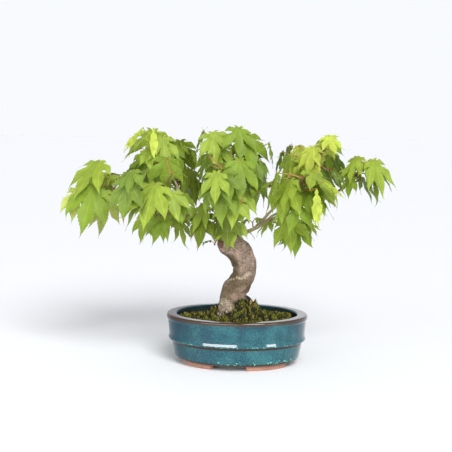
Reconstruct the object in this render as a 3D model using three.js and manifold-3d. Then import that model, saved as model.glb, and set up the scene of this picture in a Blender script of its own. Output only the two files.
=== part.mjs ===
// Japanese maple bonsai in an oval glazed pot, in millimetres, +Z up, with the ground at z = 0.
import * as THREE from 'three';
import * as BufferGeometryUtils from 'three/addons/utils/BufferGeometryUtils.js';
import Module from 'manifold-3d';

const wasm = await Module();
wasm.setup();
const { Manifold, Mesh } = wasm;

// Pot
const POT_LENGTH = 142;
const POT_WIDTH = 110;
const POT_HEIGHT = 50;
const FOOT_HEIGHT = 5;
const FLOOR_TOP = 10;
const STEP_HEIGHT = 24;
const RIM_OPENING = 121;
const DRAIN_DIAMETER = 9;
const DRAIN_OFFSET = 30;
const POT_SEGMENTS = 36;
const DRAIN_SEGMENTS = 12;
const FOOT_OUTER_LENGTH = 112;
const FOOT_OUTER_WIDTH = 86;
const FOOT_BAND = 10;
const FOOT_CHAMFER = 1.2;
const FOOT_START = 18.5;
const FOOT_END = 71;
const FOOT_STEPS = 5;

// Soil and moss
const SOIL_TOP = 44;
const MOSS_CREST = 66;
const MOSS_EDGE = 46;
const MOSS_REACH = 57;
const MOSS_SPREAD = 0.37;
const MOSS_STEEPNESS = 4;
const MOSS_EDGE_DROP = 1.1;
const MOSS_HEART = 0.1;
const MOSS_FOOT = 0.97;
const MOSS_LUMP = 0.9;
// Waves of the lumps: how many there are round the moss, their twist outwards, how many there are outwards
const MOSS_LUMP_WAVES = [4, 7.5, 9];
// Waves of the moss's edge: how many there are round it, where they start, share of the reach
const MOSS_WAVES = [[5, 1, 0.035], [9, 0, 0.03]];
// Where the moss stops short of the rim: direction and width in degrees, share of the reach that is bare
const BARE_PATCHES = [[125, 24, 0.24], [322, 18, 0.16]];
// Cushions of moss: place from the pot's centre, height and radius
const CUSHIONS = [[10, -17, 11, 10], [18, 2, 3, 10], [42, 8, 1.6, 10]];
const MOSS_SEGMENTS = 28;
const MOSS_RINGS = 5;

// Gaps
const CLEAR = 0.3;
const TRUNK_CLEAR = 0.5;
const MASS_GAP = 3;
const LIMB_GAP = 2;
const LEAF_GAP = 3;
const SAMPLE_SPACING = 3;
const WELD = 1e-4;

// The tree stands turned in its pot by this angle
const TREE_TURN = 8;

// Trunk
const TRUNK_SEGMENTS = 16;
const TRUNK_RINGS = 22;
const TRUNK_AXIS = [
  [0.0, -2.0, 44.0], [-1.5, -2.0, 54.0], [-3.2, -1.5, 64.0], [-2.1, 0.0, 73.0], [2.1, 1.5, 79.5],
  [6.3, 2.5, 86.2], [8.2, 3.0, 94.0], [7.0, 2.5, 101.5], [2.8, 1.0, 109.5], [-3.2, 0.0, 117.0],
  [-7.5, -1.0, 123.0], [-9.5, -1.5, 127.5],
];
const TRUNK_RADII = [18.5, 16.0, 14.0, 12.4, 11.2, 10.9, 11.2, 11.7, 12.0, 12.2, 12.4, 9.0];
const TRUNK_SOFT_TOP = 0.94;
const TRUNK_END = 1.015;
const ROOT_SPREAD = 0.34;
const ROOT_TOP = 72;
const ROOT_FADE = 1.6;
const LEVEL_HEIGHT = 22;
const TRUNK_CUT_DEPTH = 2;
// Roots: how many there are round the trunk, direction of one in degrees, share of the spread
const ROOTS = [[5, 59, 0.55], [3, 95, 0.45]];
// Waves of the trunk's outline: how many there are round it, twist along it, share of the radius
const TRUNK_WAVES = [[4, 21, 0.03], [7, -33, 0.025]];
// Knots and scars: place along the axis, angle round it in degrees, width in degrees, length, height
const KNOTS = [
  [0.86, 175, 34, 0.05, 1.6],
  [0.74, 10, 40, 0.04, 1.4],
  [0.52, 205, 36, 0.05, 1.3],
  [0.36, 20, 30, 0.04, 1.2],
  [0.30, 250, 28, 0.04, 1.0],
  [0.93, 285, 40, 0.05, 1.2],
];

// Boughs: name, parent, place on the parent, tip, arch over the chord, radius at root and tip, sides
const LIMBS = [
  ['left_bough', 'trunk', 0.93, [-50, -4, 151.5], -2, 5.0, 4.2, 10],
  ['left_tip_bough', 'left_bough', 1, [-96, -2, 160], -3, 2.3, 1.5, 6],
  ['left_upper_bough', 'left_bough', 1, [-62, 2, 182], 2, 2.1, 1.5, 6],
  ['left_back_bough', 'left_bough', 0.55, [-62, 40, 160], 3, 2.6, 1.5, 6],
  ['left_front_bough', 'left_bough', 0.75, [-60, -36, 154], 2, 2.3, 1.5, 6],
  ['left_low_bough', 'left_bough', 1, [-66, -12, 150], 1, 1.9, 1.4, 6],
  ['leader', 'trunk', 0.97, [-4, 2, 186], 0, 5.4, 2.2, 10],
  ['back_bough', 'leader', 0.3, [-8, 42, 168], 4, 2.7, 1.5, 6],
  ['front_bough', 'leader', 0.25, [-12, -36, 160], 3, 2.4, 1.5, 6],
  ['low_front_bough', 'front_bough', 0.35, [-22, -22, 150], 1, 1.6, 1.2, 6],
  ['right_bough', 'trunk', 0.95, [48, -2, 152], -2, 2.9, 1.9, 8],
  ['right_upper_bough', 'right_bough', 1, [66, 0, 176], 2, 1.7, 1.3, 6],
  ['right_tip_bough', 'right_bough', 1, [92, -2, 168], 3, 1.8, 1.3, 6],
  ['right_back_bough', 'right_bough', 0.5, [52, 40, 162], 3, 2.1, 1.4, 6],
  ['right_front_bough', 'right_bough', 0.6, [48, -36, 156], 3, 2.0, 1.4, 6],
  ['right_low_bough', 'right_bough', 0.85, [58, -8, 146], 1, 1.5, 1.2, 6],
];
const LIMB_RINGS = 4;
const TANGENT_REACH = 0.01;
// A path steeper than this along y is lofted about x instead
const STEEP = 0.75;
const OLD_WOOD_RADIUS = 2.8;

// Foliage masses: name, bough, heart, half sizes, most leaves, seed, colour
const MASSES = [
  ['left_tip', 'left_tip_bough', [-133, -2, 161], [50, 54, 52], 9, 383, 0x9fbf55],
  ['left_upper', 'left_upper_bough', [-84, 2, 202], [48, 46, 40], 9, 79, 0xb3ca6b],
  ['left_low', 'left_low_bough', [-76, -4, 138], [44, 44, 40], 6, 206, 0x82a23c],
  ['left_back', 'left_back_bough', [-72, 60, 176], [58, 50, 50], 9, 201, 0x86a23e],
  ['left_front', 'left_front_bough', [-72, -56, 164], [56, 48, 52], 9, 257, 0x8fb04a],
  ['top', 'leader', [-4, 2, 206], [54, 50, 38], 10, 146, 0x93ad45],
  ['front', 'front_bough', [-2, -58, 176], [50, 46, 50], 9, 415, 0x85a14a],
  ['back', 'back_bough', [-2, 62, 180], [52, 50, 50], 8, 111, 0x768c36],
  ['low_front', 'low_front_bough', [-22, -24, 142], [42, 38, 38], 6, 195, 0x9cb658],
  ['right_front', 'right_front_bough', [62, -55, 170], [52, 46, 50], 8, 290, 0x91ae45],
  ['right_upper', 'right_upper_bough', [80, 2, 198], [50, 46, 38], 9, 437, 0xb9d656],
  ['right_back', 'right_back_bough', [68, 60, 176], [54, 50, 50], 8, 330, 0x718a30],
  ['right_low', 'right_low_bough', [60, -10, 124], [30, 40, 52], 6, 347, 0x7f9c38],
  ['right_tip', 'right_tip_bough', [122, -2, 180], [44, 54, 38], 9, 112, 0xa3c250],
];
const CROWN_LIFT = 0.12;
const STEM_RADIUS = 1.15;
const STEM_ARCH = 2;
const STEM_STEPS = 3;
const SHOOT_RADII = [1.17, 1.04];
const TWIG_SIDES = 4;
const TWIG_WIDENING = 1.2;
// A leaf stalk's section is a triangle: its foot below the axis and its half width, as shares of the radius
const PETIOLE_RADIUS = 0.75;
const PETIOLE_FOOT = 0.6;
const PETIOLE_HALF = 0.9;
const LEAF_SPACING = 3;
const MOST_SHOOTS = 16;
const LEAVES_PER_SHOOT = 3;
const TRIES = 120;
const GOLDEN_ANGLE = 137.5;
const GOLDEN_SHARE = 0.618034;
const TURN_SWAY = 0.3;
const SHOOT_LIFT = [62, -12];
const SHOOT_START = [0.55, 1];
const SHOOT_SPAN = [0.2, 0.6];
const SHOOT_MIDDLE = 0.7;
const SHOOT_GAP = 1.2;
const SHOOT_END = 0.8;
// The angles in degrees that a leaf is drawn from, and how fast it shrinks while it looks for room
const HEADING_SWAY = 150;
const RISE = [-5, 50];
const DIP = [35, 75];
const ROLL = [-25, 25];
const DROOP = [0.2, 0.7];
const SHRINK = 0.004;
// The run of draws: factor, step and range of its whole numbers, and how many are passed over at the start
const DRAW_FACTOR = 1664525;
const DRAW_STEP = 1013904223;
const DRAW_RANGE = 4294967296;
const DRAWS_PASSED_OVER = 4;

// Leaf
const LEAF_LENGTH = [42, 58];
const PETIOLE_LENGTH = [14, 28];
const LOBES = [[-84, 0.56], [-43, 0.86], [0, 1], [43, 0.86], [84, 0.56]];
const LOBE_HALF_WIDTH = 0.15;
const LOBE_SIDES = [[3, 1], [4, 1], [5, 0.75], [6, 0.5]];
const SPINE_STEPS = 8;
const SHOULDER_STEP = 4;
const SINUS_STEP = 3;
const LEAF_THICKNESS = 0.9;

const UP = new THREE.Vector3(0, 0, 1);
const DOWN = new THREE.Vector3(0, 0, -1);
const radians = THREE.MathUtils.degToRad;
const mix = (a, b, t) => a + (b - a) * t;
const vector = (p) => new THREE.Vector3(p[0], p[1], p[2]);
const along = (a, d, s) => a.clone().addScaledVector(d, s);

function seeded(seed) {
  let state = seed >>> 0;
  const draw = () => {
    state = (Math.imul(state, DRAW_FACTOR) + DRAW_STEP) >>> 0;
    return state / DRAW_RANGE;
  };
  for (let i = 0; i < DRAWS_PASSED_OVER; i += 1) draw();
  return draw;
}

// Closed solids from rings of points, from lathe profiles and back to drawn meshes

function solidOf(points, faces) {
  const mesh = new Mesh({
    numProp: 3,
    vertProperties: new Float32Array(points.flatMap((p) => [p.x, p.y, p.z])),
    triVerts: new Uint32Array(faces.flat()),
  });
  mesh.merge();
  const solid = new Manifold(mesh);
  if (solid.volume() > 0) return solid;
  return solidOf(points, faces.map(([a, b, c]) => [a, c, b]));
}

function solidOfGeometry(source) {
  const geometry = source.clone();
  geometry.deleteAttribute('normal');
  geometry.deleteAttribute('uv');
  const merged = BufferGeometryUtils.mergeVertices(geometry, WELD);
  const position = merged.getAttribute('position');
  const index = merged.getIndex().array;
  const points = [];
  for (let i = 0; i < position.count; i += 1) {
    points.push(new THREE.Vector3().fromBufferAttribute(position, i));
  }
  const faces = [];
  for (let i = 0; i < index.length; i += 3) {
    const [a, b, c] = [index[i], index[i + 1], index[i + 2]];
    if (a !== b && b !== c && c !== a) faces.push([a, b, c]);
  }
  return solidOf(points, faces);
}

function loft(rings) {
  const n = rings[0].length;
  const points = rings.flat();
  const faces = [];
  for (let r = 0; r + 1 < rings.length; r += 1) {
    for (let i = 0; i < n; i += 1) {
      const a = r * n + i;
      const b = r * n + (i + 1) % n;
      faces.push([a, b, a + n], [b, b + n, a + n]);
    }
  }
  const last = (rings.length - 1) * n;
  for (let i = 1; i + 1 < n; i += 1) {
    faces.push([0, i + 1, i]);
    faces.push([last, last + i, last + i + 1]);
  }
  return solidOf(points, faces);
}

function largest(solid) {
  const pieces = solid.decompose();
  return pieces.reduce((a, b) => (b.volume() > a.volume() ? b : a));
}

function drawn(name, solid, look) {
  const mesh = solid.getMesh();
  const geometry = new THREE.BufferGeometry();
  const count = mesh.vertProperties.length / mesh.numProp;
  const position = new Float32Array(count * 3);
  for (let i = 0; i < count; i += 1) {
    for (let k = 0; k < 3; k += 1) position[i * 3 + k] = mesh.vertProperties[i * mesh.numProp + k];
  }
  geometry.setAttribute('position', new THREE.BufferAttribute(position, 3));
  geometry.setIndex(new THREE.BufferAttribute(new Uint32Array(mesh.triVerts), 1));
  geometry.computeVertexNormals();
  const body = new THREE.Mesh(geometry, new THREE.MeshStandardMaterial(look));
  body.name = name;
  return body;
}

// Pot, feet, soil and moss

function oval(profile) {
  const geometry = new THREE.LatheGeometry(profile.map(([r, z]) => new THREE.Vector2(r, z)), POT_SEGMENTS);
  geometry.rotateX(Math.PI / 2);
  geometry.scale(1, POT_WIDTH / POT_LENGTH, 1);
  return solidOfGeometry(geometry);
}

function potSolid() {
  const outer = POT_LENGTH / 2;
  const inner = RIM_OPENING / 2;
  const body = oval([
    [0, FOOT_HEIGHT],
    [outer - 12.2, FOOT_HEIGHT],
    [outer - 9.6, FOOT_HEIGHT + 0.9],
    [outer - 8.2, FOOT_HEIGHT + 3.2],
    [outer - 5.2, STEP_HEIGHT - 1.4],
    [outer - 4.6, STEP_HEIGHT - 0.4],
    [outer - 2.5, STEP_HEIGHT + 0.4],
    [outer - 1.8, STEP_HEIGHT + 1.5],
    [outer - 2.7, STEP_HEIGHT + 5.4],
    [outer - 2.5, STEP_HEIGHT + 8.5],
    [outer - 1.3, POT_HEIGHT - 5.4],
    [outer - 0.2, POT_HEIGHT - 4.2],
    [outer, POT_HEIGHT - 2.6],
    [outer - 0.2, POT_HEIGHT - 0.9],
    [outer - 1.2, POT_HEIGHT],
    [inner + 1, POT_HEIGHT],
    [inner, POT_HEIGHT - 0.9],
    [inner + 0.4, POT_HEIGHT - 4],
    [inner + 1.2, SOIL_TOP - 4],
    [inner - 2.5, FLOOR_TOP + 8],
    [inner - 6, FLOOR_TOP + 1.5],
    [inner - 9, FLOOR_TOP],
    [0, FLOOR_TOP],
  ]);
  const bore = DRAIN_DIAMETER / 2;
  const drain = new THREE.CylinderGeometry(bore, bore, FLOOR_TOP * 2, DRAIN_SEGMENTS);
  drain.rotateX(Math.PI / 2);
  return [-DRAIN_OFFSET, DRAIN_OFFSET].reduce((pot, x) => {
    const hole = drain.clone().translate(x, 0, FLOOR_TOP);
    return pot.subtract(solidOfGeometry(hole));
  }, body);
}

function footSolid(signX, signY) {
  const rings = [];
  for (let i = 0; i <= FOOT_STEPS; i += 1) {
    const angle = radians(mix(FOOT_START, FOOT_END, i / FOOT_STEPS));
    const at = (inset, z) => new THREE.Vector3(
      signX * (FOOT_OUTER_LENGTH / 2 - inset) * Math.cos(angle),
      signY * (FOOT_OUTER_WIDTH / 2 - inset) * Math.sin(angle),
      z,
    );
    rings.push([
      at(0, FOOT_HEIGHT),
      at(FOOT_CHAMFER, 0),
      at(FOOT_BAND - FOOT_CHAMFER, 0),
      at(FOOT_BAND, FOOT_HEIGHT),
    ]);
  }
  return loft(rings);
}

function soilSolid() {
  const inner = RIM_OPENING / 2;
  return oval([
    [0, FLOOR_TOP + CLEAR],
    [inner - 9.4, FLOOR_TOP + CLEAR],
    [inner - 6.5, FLOOR_TOP + 1.9],
    [inner - 3, FLOOR_TOP + 8.2],
    [inner + 0.7, SOIL_TOP - 4],
    [inner + 0.3, SOIL_TOP],
    [0, SOIL_TOP],
  ]);
}

function mossSolid(trunk) {
  const rings = [[], []];
  const shrink = POT_WIDTH / POT_LENGTH;
  const [round, twist, outwards] = MOSS_LUMP_WAVES;
  for (let r = 0; r <= MOSS_RINGS; r += 1) rings.push([]);
  for (let i = 0; i < MOSS_SEGMENTS; i += 1) {
    const angle = i / MOSS_SEGMENTS * Math.PI * 2;
    let reach = MOSS_REACH;
    for (const [count, shift, share] of MOSS_WAVES) {
      reach -= MOSS_REACH * share * Math.sin(angle * count + shift);
    }
    for (const [direction, width, share] of BARE_PATCHES) {
      reach -= MOSS_REACH * share * Math.exp(-(((angle - radians(direction)) / radians(width)) ** 2));
    }
    const place = (share) => [reach * share * Math.cos(angle), reach * share * Math.sin(angle) * shrink];
    const at = (share, z) => new THREE.Vector3(...place(share), z);
    rings[0].push(at(MOSS_HEART, SOIL_TOP));
    rings[1].push(at(MOSS_FOOT, SOIL_TOP));
    for (let r = MOSS_RINGS; r >= 0; r -= 1) {
      const share = mix(MOSS_HEART, 1, r / MOSS_RINGS);
      const mound = Math.exp(-((share / MOSS_SPREAD) ** MOSS_STEEPNESS));
      const lumps = MOSS_LUMP * Math.sin(angle * round + share * twist) * Math.sin(share * outwards);
      let crest = mix(MOSS_EDGE, MOSS_CREST, mound) + lumps;
      const [x, y] = place(share);
      for (const [east, north, height, radius] of CUSHIONS) {
        crest += height * Math.exp(-((x - east) ** 2 + (y - north) ** 2) / radius ** 2);
      }
      const height = r === MOSS_RINGS ? MOSS_EDGE - MOSS_EDGE_DROP : crest;
      rings[2 + MOSS_RINGS - r].push(at(share, height));
    }
  }
  return loft(rings).subtract(trunk);
}

// Trunk and boughs

function trunkCurve() {
  const curve = new THREE.CatmullRomCurve3(TRUNK_AXIS.map(vector), false, 'catmullrom', 0.5);
  const radius = (t) => {
    const place = t * (TRUNK_RADII.length - 1);
    const i = Math.min(Math.floor(place), TRUNK_RADII.length - 2);
    return mix(TRUNK_RADII[i], TRUNK_RADII[i + 1], place - i);
  };
  return { at: (t) => curve.getPoint(t), radius };
}

function bend(a, tip, arch) {
  const knee = along(a.clone().add(tip).multiplyScalar(0.5), UP, arch * 2);
  const at = (t) => {
    const s = 1 - t;
    return a.clone().multiplyScalar(s * s).addScaledVector(knee, 2 * s * t).addScaledVector(tip, t * t);
  };
  return at;
}

function limbCurves() {
  const curves = { trunk: trunkCurve() };
  for (const [name, parent, place, tip, arch, rootRadius, tipRadius] of LIMBS) {
    const at = bend(curves[parent].at(place), vector(tip), arch);
    curves[name] = { at, radius: (t) => mix(rootRadius, tipRadius, t) };
  }
  return curves;
}

function tangent(curve, t) {
  const a = Math.max(0, t - TANGENT_REACH);
  const b = Math.min(1, t + TANGENT_REACH);
  return curve.at(b).sub(curve.at(a)).normalize();
}

function trunkSolid(curve, extra) {
  const rings = [];
  for (let r = 0; r <= TRUNK_RINGS; r += 1) {
    const t = r / TRUNK_RINGS;
    const centre = curve.at(t);
    const level = THREE.MathUtils.smoothstep(centre.z, SOIL_TOP, SOIL_TOP + LEVEL_HEIGHT);
    const way = UP.clone().lerp(tangent(curve, t), level).normalize();
    const depth = new THREE.Vector3(0, 1, 0);
    depth.addScaledVector(way, -depth.dot(way)).normalize();
    const side = new THREE.Vector3().crossVectors(depth, way);
    const past = Math.max(0, (t - TRUNK_SOFT_TOP) / (TRUNK_END - TRUNK_SOFT_TOP));
    const crown = Math.sqrt(1 - past ** 2);
    const flare = Math.max(0, (ROOT_TOP - centre.z) / (ROOT_TOP - SOIL_TOP)) ** ROOT_FADE;
    const ring = [];
    for (let i = 0; i < TRUNK_SEGMENTS; i += 1) {
      const angle = i / TRUNK_SEGMENTS * Math.PI * 2;
      let spread = ROOT_SPREAD * flare;
      spread *= ROOTS.reduce((sum, [count, direction, share]) => (
        sum + share * Math.cos((angle - radians(direction)) * count)), 0);
      let reach = curve.radius(t) * (1 + spread);
      for (const [count, twist, share] of TRUNK_WAVES) {
        reach *= 1 + share * Math.sin(angle * count + t * twist);
      }
      for (const [place, knotAngle, width, length, height] of KNOTS) {
        let apart = Math.abs(angle - radians(knotAngle));
        apart = Math.min(apart, Math.PI * 2 - apart);
        reach += height * Math.exp(-((apart / radians(width)) ** 2) - (((t - place) / length) ** 2));
      }
      reach = reach * crown + extra;
      ring.push(centre.clone().addScaledVector(side, Math.cos(angle) * reach)
        .addScaledVector(depth, Math.sin(angle) * reach));
    }
    rings.push(ring);
  }
  if (extra > 0) {
    rings.unshift(rings[0].map((p) => along(p, DOWN, TRUNK_CUT_DEPTH)));
    rings.push(rings[rings.length - 1].map((p) => along(p, tangent(curve, 1), extra)));
  }
  return loft(rings);
}

function tube(path, radii, sides) {
  const chord = path[path.length - 1].clone().sub(path[0]).normalize();
  const spare = Math.abs(chord.y) < STEEP ? new THREE.Vector3(0, 1, 0) : new THREE.Vector3(1, 0, 0);
  const rings = path.map((centre, k) => {
    const before = path[Math.max(0, k - 1)];
    const after = path[Math.min(path.length - 1, k + 1)];
    const way = after.clone().sub(before).normalize();
    const depth = along(spare, way, -spare.dot(way)).normalize();
    const side = new THREE.Vector3().crossVectors(depth, way);
    const ring = [];
    for (let i = 0; i < sides; i += 1) {
      const angle = i / sides * Math.PI * 2;
      ring.push(centre.clone().addScaledVector(side, Math.cos(angle) * radii[k])
        .addScaledVector(depth, Math.sin(angle) * radii[k]));
    }
    return ring;
  });
  return loft(rings);
}

function limbSolid(curve, sides, extra) {
  const path = [];
  const radii = [];
  for (let k = 0; k <= LIMB_RINGS; k += 1) {
    const t = k / LIMB_RINGS;
    path.push(curve.at(t));
    radii.push(curve.radius(t) / Math.cos(Math.PI / sides) ** 0.5 + extra);
  }
  if (extra > 0) {
    path.unshift(along(path[0], tangent(curve, 0), -extra));
    radii.unshift(radii[0]);
    path.push(along(path[path.length - 1], tangent(curve, 1), extra));
    radii.push(radii[radii.length - 1]);
  }
  return tube(path, radii, sides);
}

// The growth rule: a stem, shoots turned by the golden angle, and leaves that keep to the mass's own space

function stemOf(mass, curves) {
  const heart = vector(mass[2]);
  const bough = curves[mass[1]];
  const crown = along(heart, UP, mass[3][2] * CROWN_LIFT);
  const tip = bough.at(1);
  const way = crown.clone().sub(tip).normalize();
  const start = along(tip, way, bough.radius(1) + CLEAR);
  return { at: bend(start, crown, STEM_ARCH / 2), radius: () => STEM_RADIUS };
}

function samplesOf(curve) {
  const length = curve.at(0).distanceTo(curve.at(1));
  const n = Math.max(2, Math.ceil(length / SAMPLE_SPACING));
  const samples = [];
  for (let k = 0; k <= n; k += 1) samples.push({ place: curve.at(k / n), radius: curve.radius(k / n) });
  return samples;
}

function leafShape(root, heading, petiole, rise, dip, roll, length, droop) {
  const out = new THREE.Vector3(Math.cos(heading), Math.sin(heading), 0);
  const reach = out.clone().multiplyScalar(Math.cos(rise)).addScaledVector(UP, Math.sin(rise));
  const base = along(root, reach, petiole);
  const axis = out.clone().multiplyScalar(Math.cos(dip)).addScaledVector(DOWN, Math.sin(dip));
  const normal = out.clone().multiplyScalar(Math.sin(dip)).addScaledVector(UP, Math.cos(dip));
  const flatSide = new THREE.Vector3().crossVectors(axis, normal);
  const side = flatSide.multiplyScalar(Math.cos(roll)).addScaledVector(normal, Math.sin(roll));
  const lobes = LOBES.map(([angle, share]) => {
    const cos = Math.cos(radians(angle));
    const sin = Math.sin(radians(angle));
    const way = axis.clone().multiplyScalar(cos).addScaledVector(side, sin);
    const across = side.clone().multiplyScalar(cos).addScaledVector(axis, -sin);
    const lobe = { spine: [base], sides: [across], ways: [way], halfWidth: length * share * LOBE_HALF_WIDTH };
    let place = base;
    for (let k = 0; k < SPINE_STEPS; k += 1) {
      const weight = droop * (k + 0.5) / SPINE_STEPS;
      const step = way.clone().multiplyScalar(1 - weight).addScaledVector(DOWN, weight).normalize();
      place = along(place, step, length * share / SPINE_STEPS);
      lobe.spine.push(place);
      lobe.sides.push(along(across, step, -across.dot(step)).normalize());
      lobe.ways.push(step);
    }
    return lobe;
  });
  return { root, base, axis, lobes };
}

function leafSamples(leaf) {
  const points = [0, 1 / 3, 2 / 3].map((share) => leaf.base.clone().lerp(leaf.root, share));
  for (const lobe of leaf.lobes) {
    for (let k = 1; k <= SPINE_STEPS; k += 1) points.push(lobe.spine[k]);
    for (const [k, share] of LOBE_SIDES) {
      points.push(along(lobe.spine[k], lobe.sides[k], lobe.halfWidth * share));
      points.push(along(lobe.spine[k], lobe.sides[k], -lobe.halfWidth * share));
    }
  }
  return points;
}

function spaceOf(mass) {
  const heart = vector(mass[2]);
  const reach = vector(mass[3]);
  const size = (m) => m[3][0] + m[3][1] + m[3][2];
  const walls = MASSES.filter((other) => other !== mass).map((other) => {
    const way = vector(other[2]).sub(heart);
    const far = way.length();
    const own = size(mass) / (size(mass) + size(other));
    return { way: way.divideScalar(far), off: far * own - MASS_GAP / 2 };
  });
  return (points) => points.every((point) => {
    const from = point.clone().sub(heart);
    if ((from.x / reach.x) ** 2 + (from.y / reach.y) ** 2 + (from.z / reach.z) ** 2 > 1) return false;
    return walls.every((wall) => from.dot(wall.way) <= wall.off);
  });
}

function isClear(points, samples, gap) {
  return points.every((p) => samples.every((s) => p.distanceTo(s.place) - s.radius >= gap));
}

function growMass(mass, curves) {
  const [, , , reachList, most, seed] = mass;
  const reach = vector(reachList);
  const draw = seeded(seed);
  const stem = stemOf(mass, curves);
  const inSpace = spaceOf(mass);
  const others = MASSES.filter((other) => other !== mass).map((other) => stemOf(other, curves));
  const blocks = [...Object.values(curves), ...others].flatMap(samplesOf);
  const taken = samplesOf(stem);
  const shoots = [];
  let count = 0;
  for (let k = 0; k < MOST_SHOOTS && count < most; k += 1) {
    const turn = k * radians(GOLDEN_ANGLE) + mix(-TURN_SWAY, TURN_SWAY, draw());
    const lift = radians(mix(...SHOOT_LIFT, (k * GOLDEN_SHARE) % 1));
    const start = stem.at(mix(...SHOOT_START, draw()));
    const way = new THREE.Vector3(
      Math.cos(turn) * Math.cos(lift),
      Math.sin(turn) * Math.cos(lift),
      Math.sin(lift),
    );
    const span = mix(...SHOOT_SPAN, draw()) / way.clone().divide(reach).length();
    const tip = along(start, way, span);
    const path = [along(start, way, span * SHOOT_MIDDLE), tip];
    const leaves = [];
    const open = inSpace(path) && isClear(path, blocks, SHOOT_GAP) && isClear(path, taken, LEAF_GAP);
    if (open) for (const place of path) taken.push({ place, radius: 0 });
    for (let j = 0; open && j < LEAVES_PER_SHOOT && count < most; j += 1) {
      const root = along(tip, way, -LEAF_SPACING * j);
      for (let attempt = 0; attempt < TRIES; attempt += 1) {
        const heading = turn + radians(mix(-HEADING_SWAY, HEADING_SWAY, draw()));
        const petiole = mix(...PETIOLE_LENGTH, draw());
        const rise = radians(mix(...RISE, draw()));
        const dip = radians(mix(...DIP, draw()));
        const roll = radians(mix(...ROLL, draw()));
        const length = mix(...LEAF_LENGTH, draw()) * (1 - SHRINK * attempt);
        const droop = mix(...DROOP, draw());
        const leaf = leafShape(root, heading, petiole, rise, dip, roll, length, droop);
        const samples = leafSamples(leaf);
        if (inSpace(samples) && isClear(samples, blocks, LIMB_GAP) && isClear(samples, taken, LEAF_GAP)) {
          for (const place of samples) taken.push({ place, radius: 0 });
          leaves.push(leaf);
          count += 1;
          break;
        }
      }
    }
    if (leaves.length > 0) shoots.push({ start, tip, leaves });
  }
  return { stem, shoots };
}

// Solids of one mass

function leafSolid(leaf) {
  const points = [];
  const faces = [];
  const add = (p) => points.push(p) - 1;
  const normalAt = (lobe, k) => new THREE.Vector3().crossVectors(lobe.sides[k], lobe.ways[k]).normalize();
  const side = leaf.lobes[2].sides[0];
  const way = leaf.base.clone().sub(leaf.root).normalize();
  const turn = way.clone().add(leaf.axis).normalize();
  const rise = normalAt(leaf.lobes[2], 0);
  rise.addScaledVector(turn, -rise.dot(turn)).normalize();
  const ring = (centre, up) => {
    const across = new THREE.Vector3().crossVectors(way, up).normalize();
    if (across.dot(side) < 0) across.negate();
    const foot = along(centre, up, -PETIOLE_RADIUS * PETIOLE_FOOT);
    const half = PETIOLE_RADIUS * PETIOLE_HALF;
    const low = [along(foot, across, -half), along(foot, across, half)];
    return [along(centre, up, PETIOLE_RADIUS), ...low].map(add);
  };
  const [top, left, right] = ring(leaf.base, rise);
  const [rootTop, rootLeft, rootRight] = ring(leaf.root, along(rise, way, -rise.dot(way)).normalize());
  faces.push([rootTop, rootRight, rootLeft]);
  faces.push([rootTop, rootLeft, left], [rootTop, left, top]);
  faces.push([rootRight, rootTop, top], [rootRight, top, right]);
  faces.push([rootLeft, rootRight, right], [rootLeft, right, left]);
  const sinuses = leaf.lobes.slice(1).map((lobe, i) => {
    const other = leaf.lobes[i];
    return add(lobe.spine[SINUS_STEP].clone().add(other.spine[SINUS_STEP]).multiplyScalar(0.5));
  });
  const last = leaf.lobes.length - 1;
  leaf.lobes.forEach((lobe, i) => {
    const centre = lobe.spine[SHOULDER_STEP];
    const normal = normalAt(lobe, SHOULDER_STEP);
    const shoulder = (way) => add(along(centre, lobe.sides[SHOULDER_STEP], way * lobe.halfWidth));
    const tip = add(lobe.spine[SPINE_STEPS]);
    const over = add(along(centre, normal, LEAF_THICKNESS / 2));
    const under = add(along(centre, normal, -LEAF_THICKNESS / 2));
    const rim = [tip];
    if (i < last) rim.unshift(shoulder(-1));
    if (i > 0) rim.push(shoulder(1));
    if (i > 0) rim.unshift(sinuses[i - 1]);
    if (i < last) rim.push(sinuses[i]);
    const below = i < 2 ? [left] : [right];
    if (i === 2) below.push(left);
    for (const [loop, mid, flip] of [[[top, ...rim], over, false], [[...rim, ...below], under, true]]) {
      loop.forEach((a, n) => {
        const b = loop[(n + 1) % loop.length];
        faces.push(flip ? [mid, b, a] : [mid, a, b]);
      });
    }
    if (i === 0) faces.push([top, left, rim[0]]);
    if (i === last) faces.push([right, top, rim[rim.length - 1]]);
  });
  return solidOf(points, faces);
}

function massSolid(grown, boughTip) {
  const path = [boughTip];
  for (let k = 0; k <= STEM_STEPS; k += 1) path.push(grown.stem.at(k / STEM_STEPS));
  const solids = [tube(path, path.map(() => STEM_RADIUS * TWIG_WIDENING), TWIG_SIDES)];
  for (const { start, tip, leaves } of grown.shoots) {
    const way = tip.clone().sub(start).normalize();
    solids.push(tube([start, along(tip, way, SHOOT_END)], SHOOT_RADII, TWIG_SIDES));
    for (const leaf of leaves) solids.push(leafSolid(leaf));
  }
  return Manifold.union(solids);
}

// Assembly

const group = new THREE.Group();
group.name = 'japanese_maple_bonsai';

const GLAZE = { color: 0x467c89, roughness: 0.22, metalness: 0 };
const CLAY = { color: 0xb28874, roughness: 0.85, metalness: 0 };
const SOIL = { color: 0x3a332a, roughness: 1, metalness: 0 };
const MOSS = { color: 0x61582a, roughness: 1, metalness: 0 };
const BARK = { color: 0x9a8874, roughness: 0.9, metalness: 0 };
const TWIG_BARK = { color: 0x949c63, roughness: 0.8, metalness: 0 };

const turned = (solid) => solid.rotate([0, 0, TREE_TURN]);
const curves = limbCurves();
const around = { trunk: trunkSolid(curves.trunk, TRUNK_CLEAR) };

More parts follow.
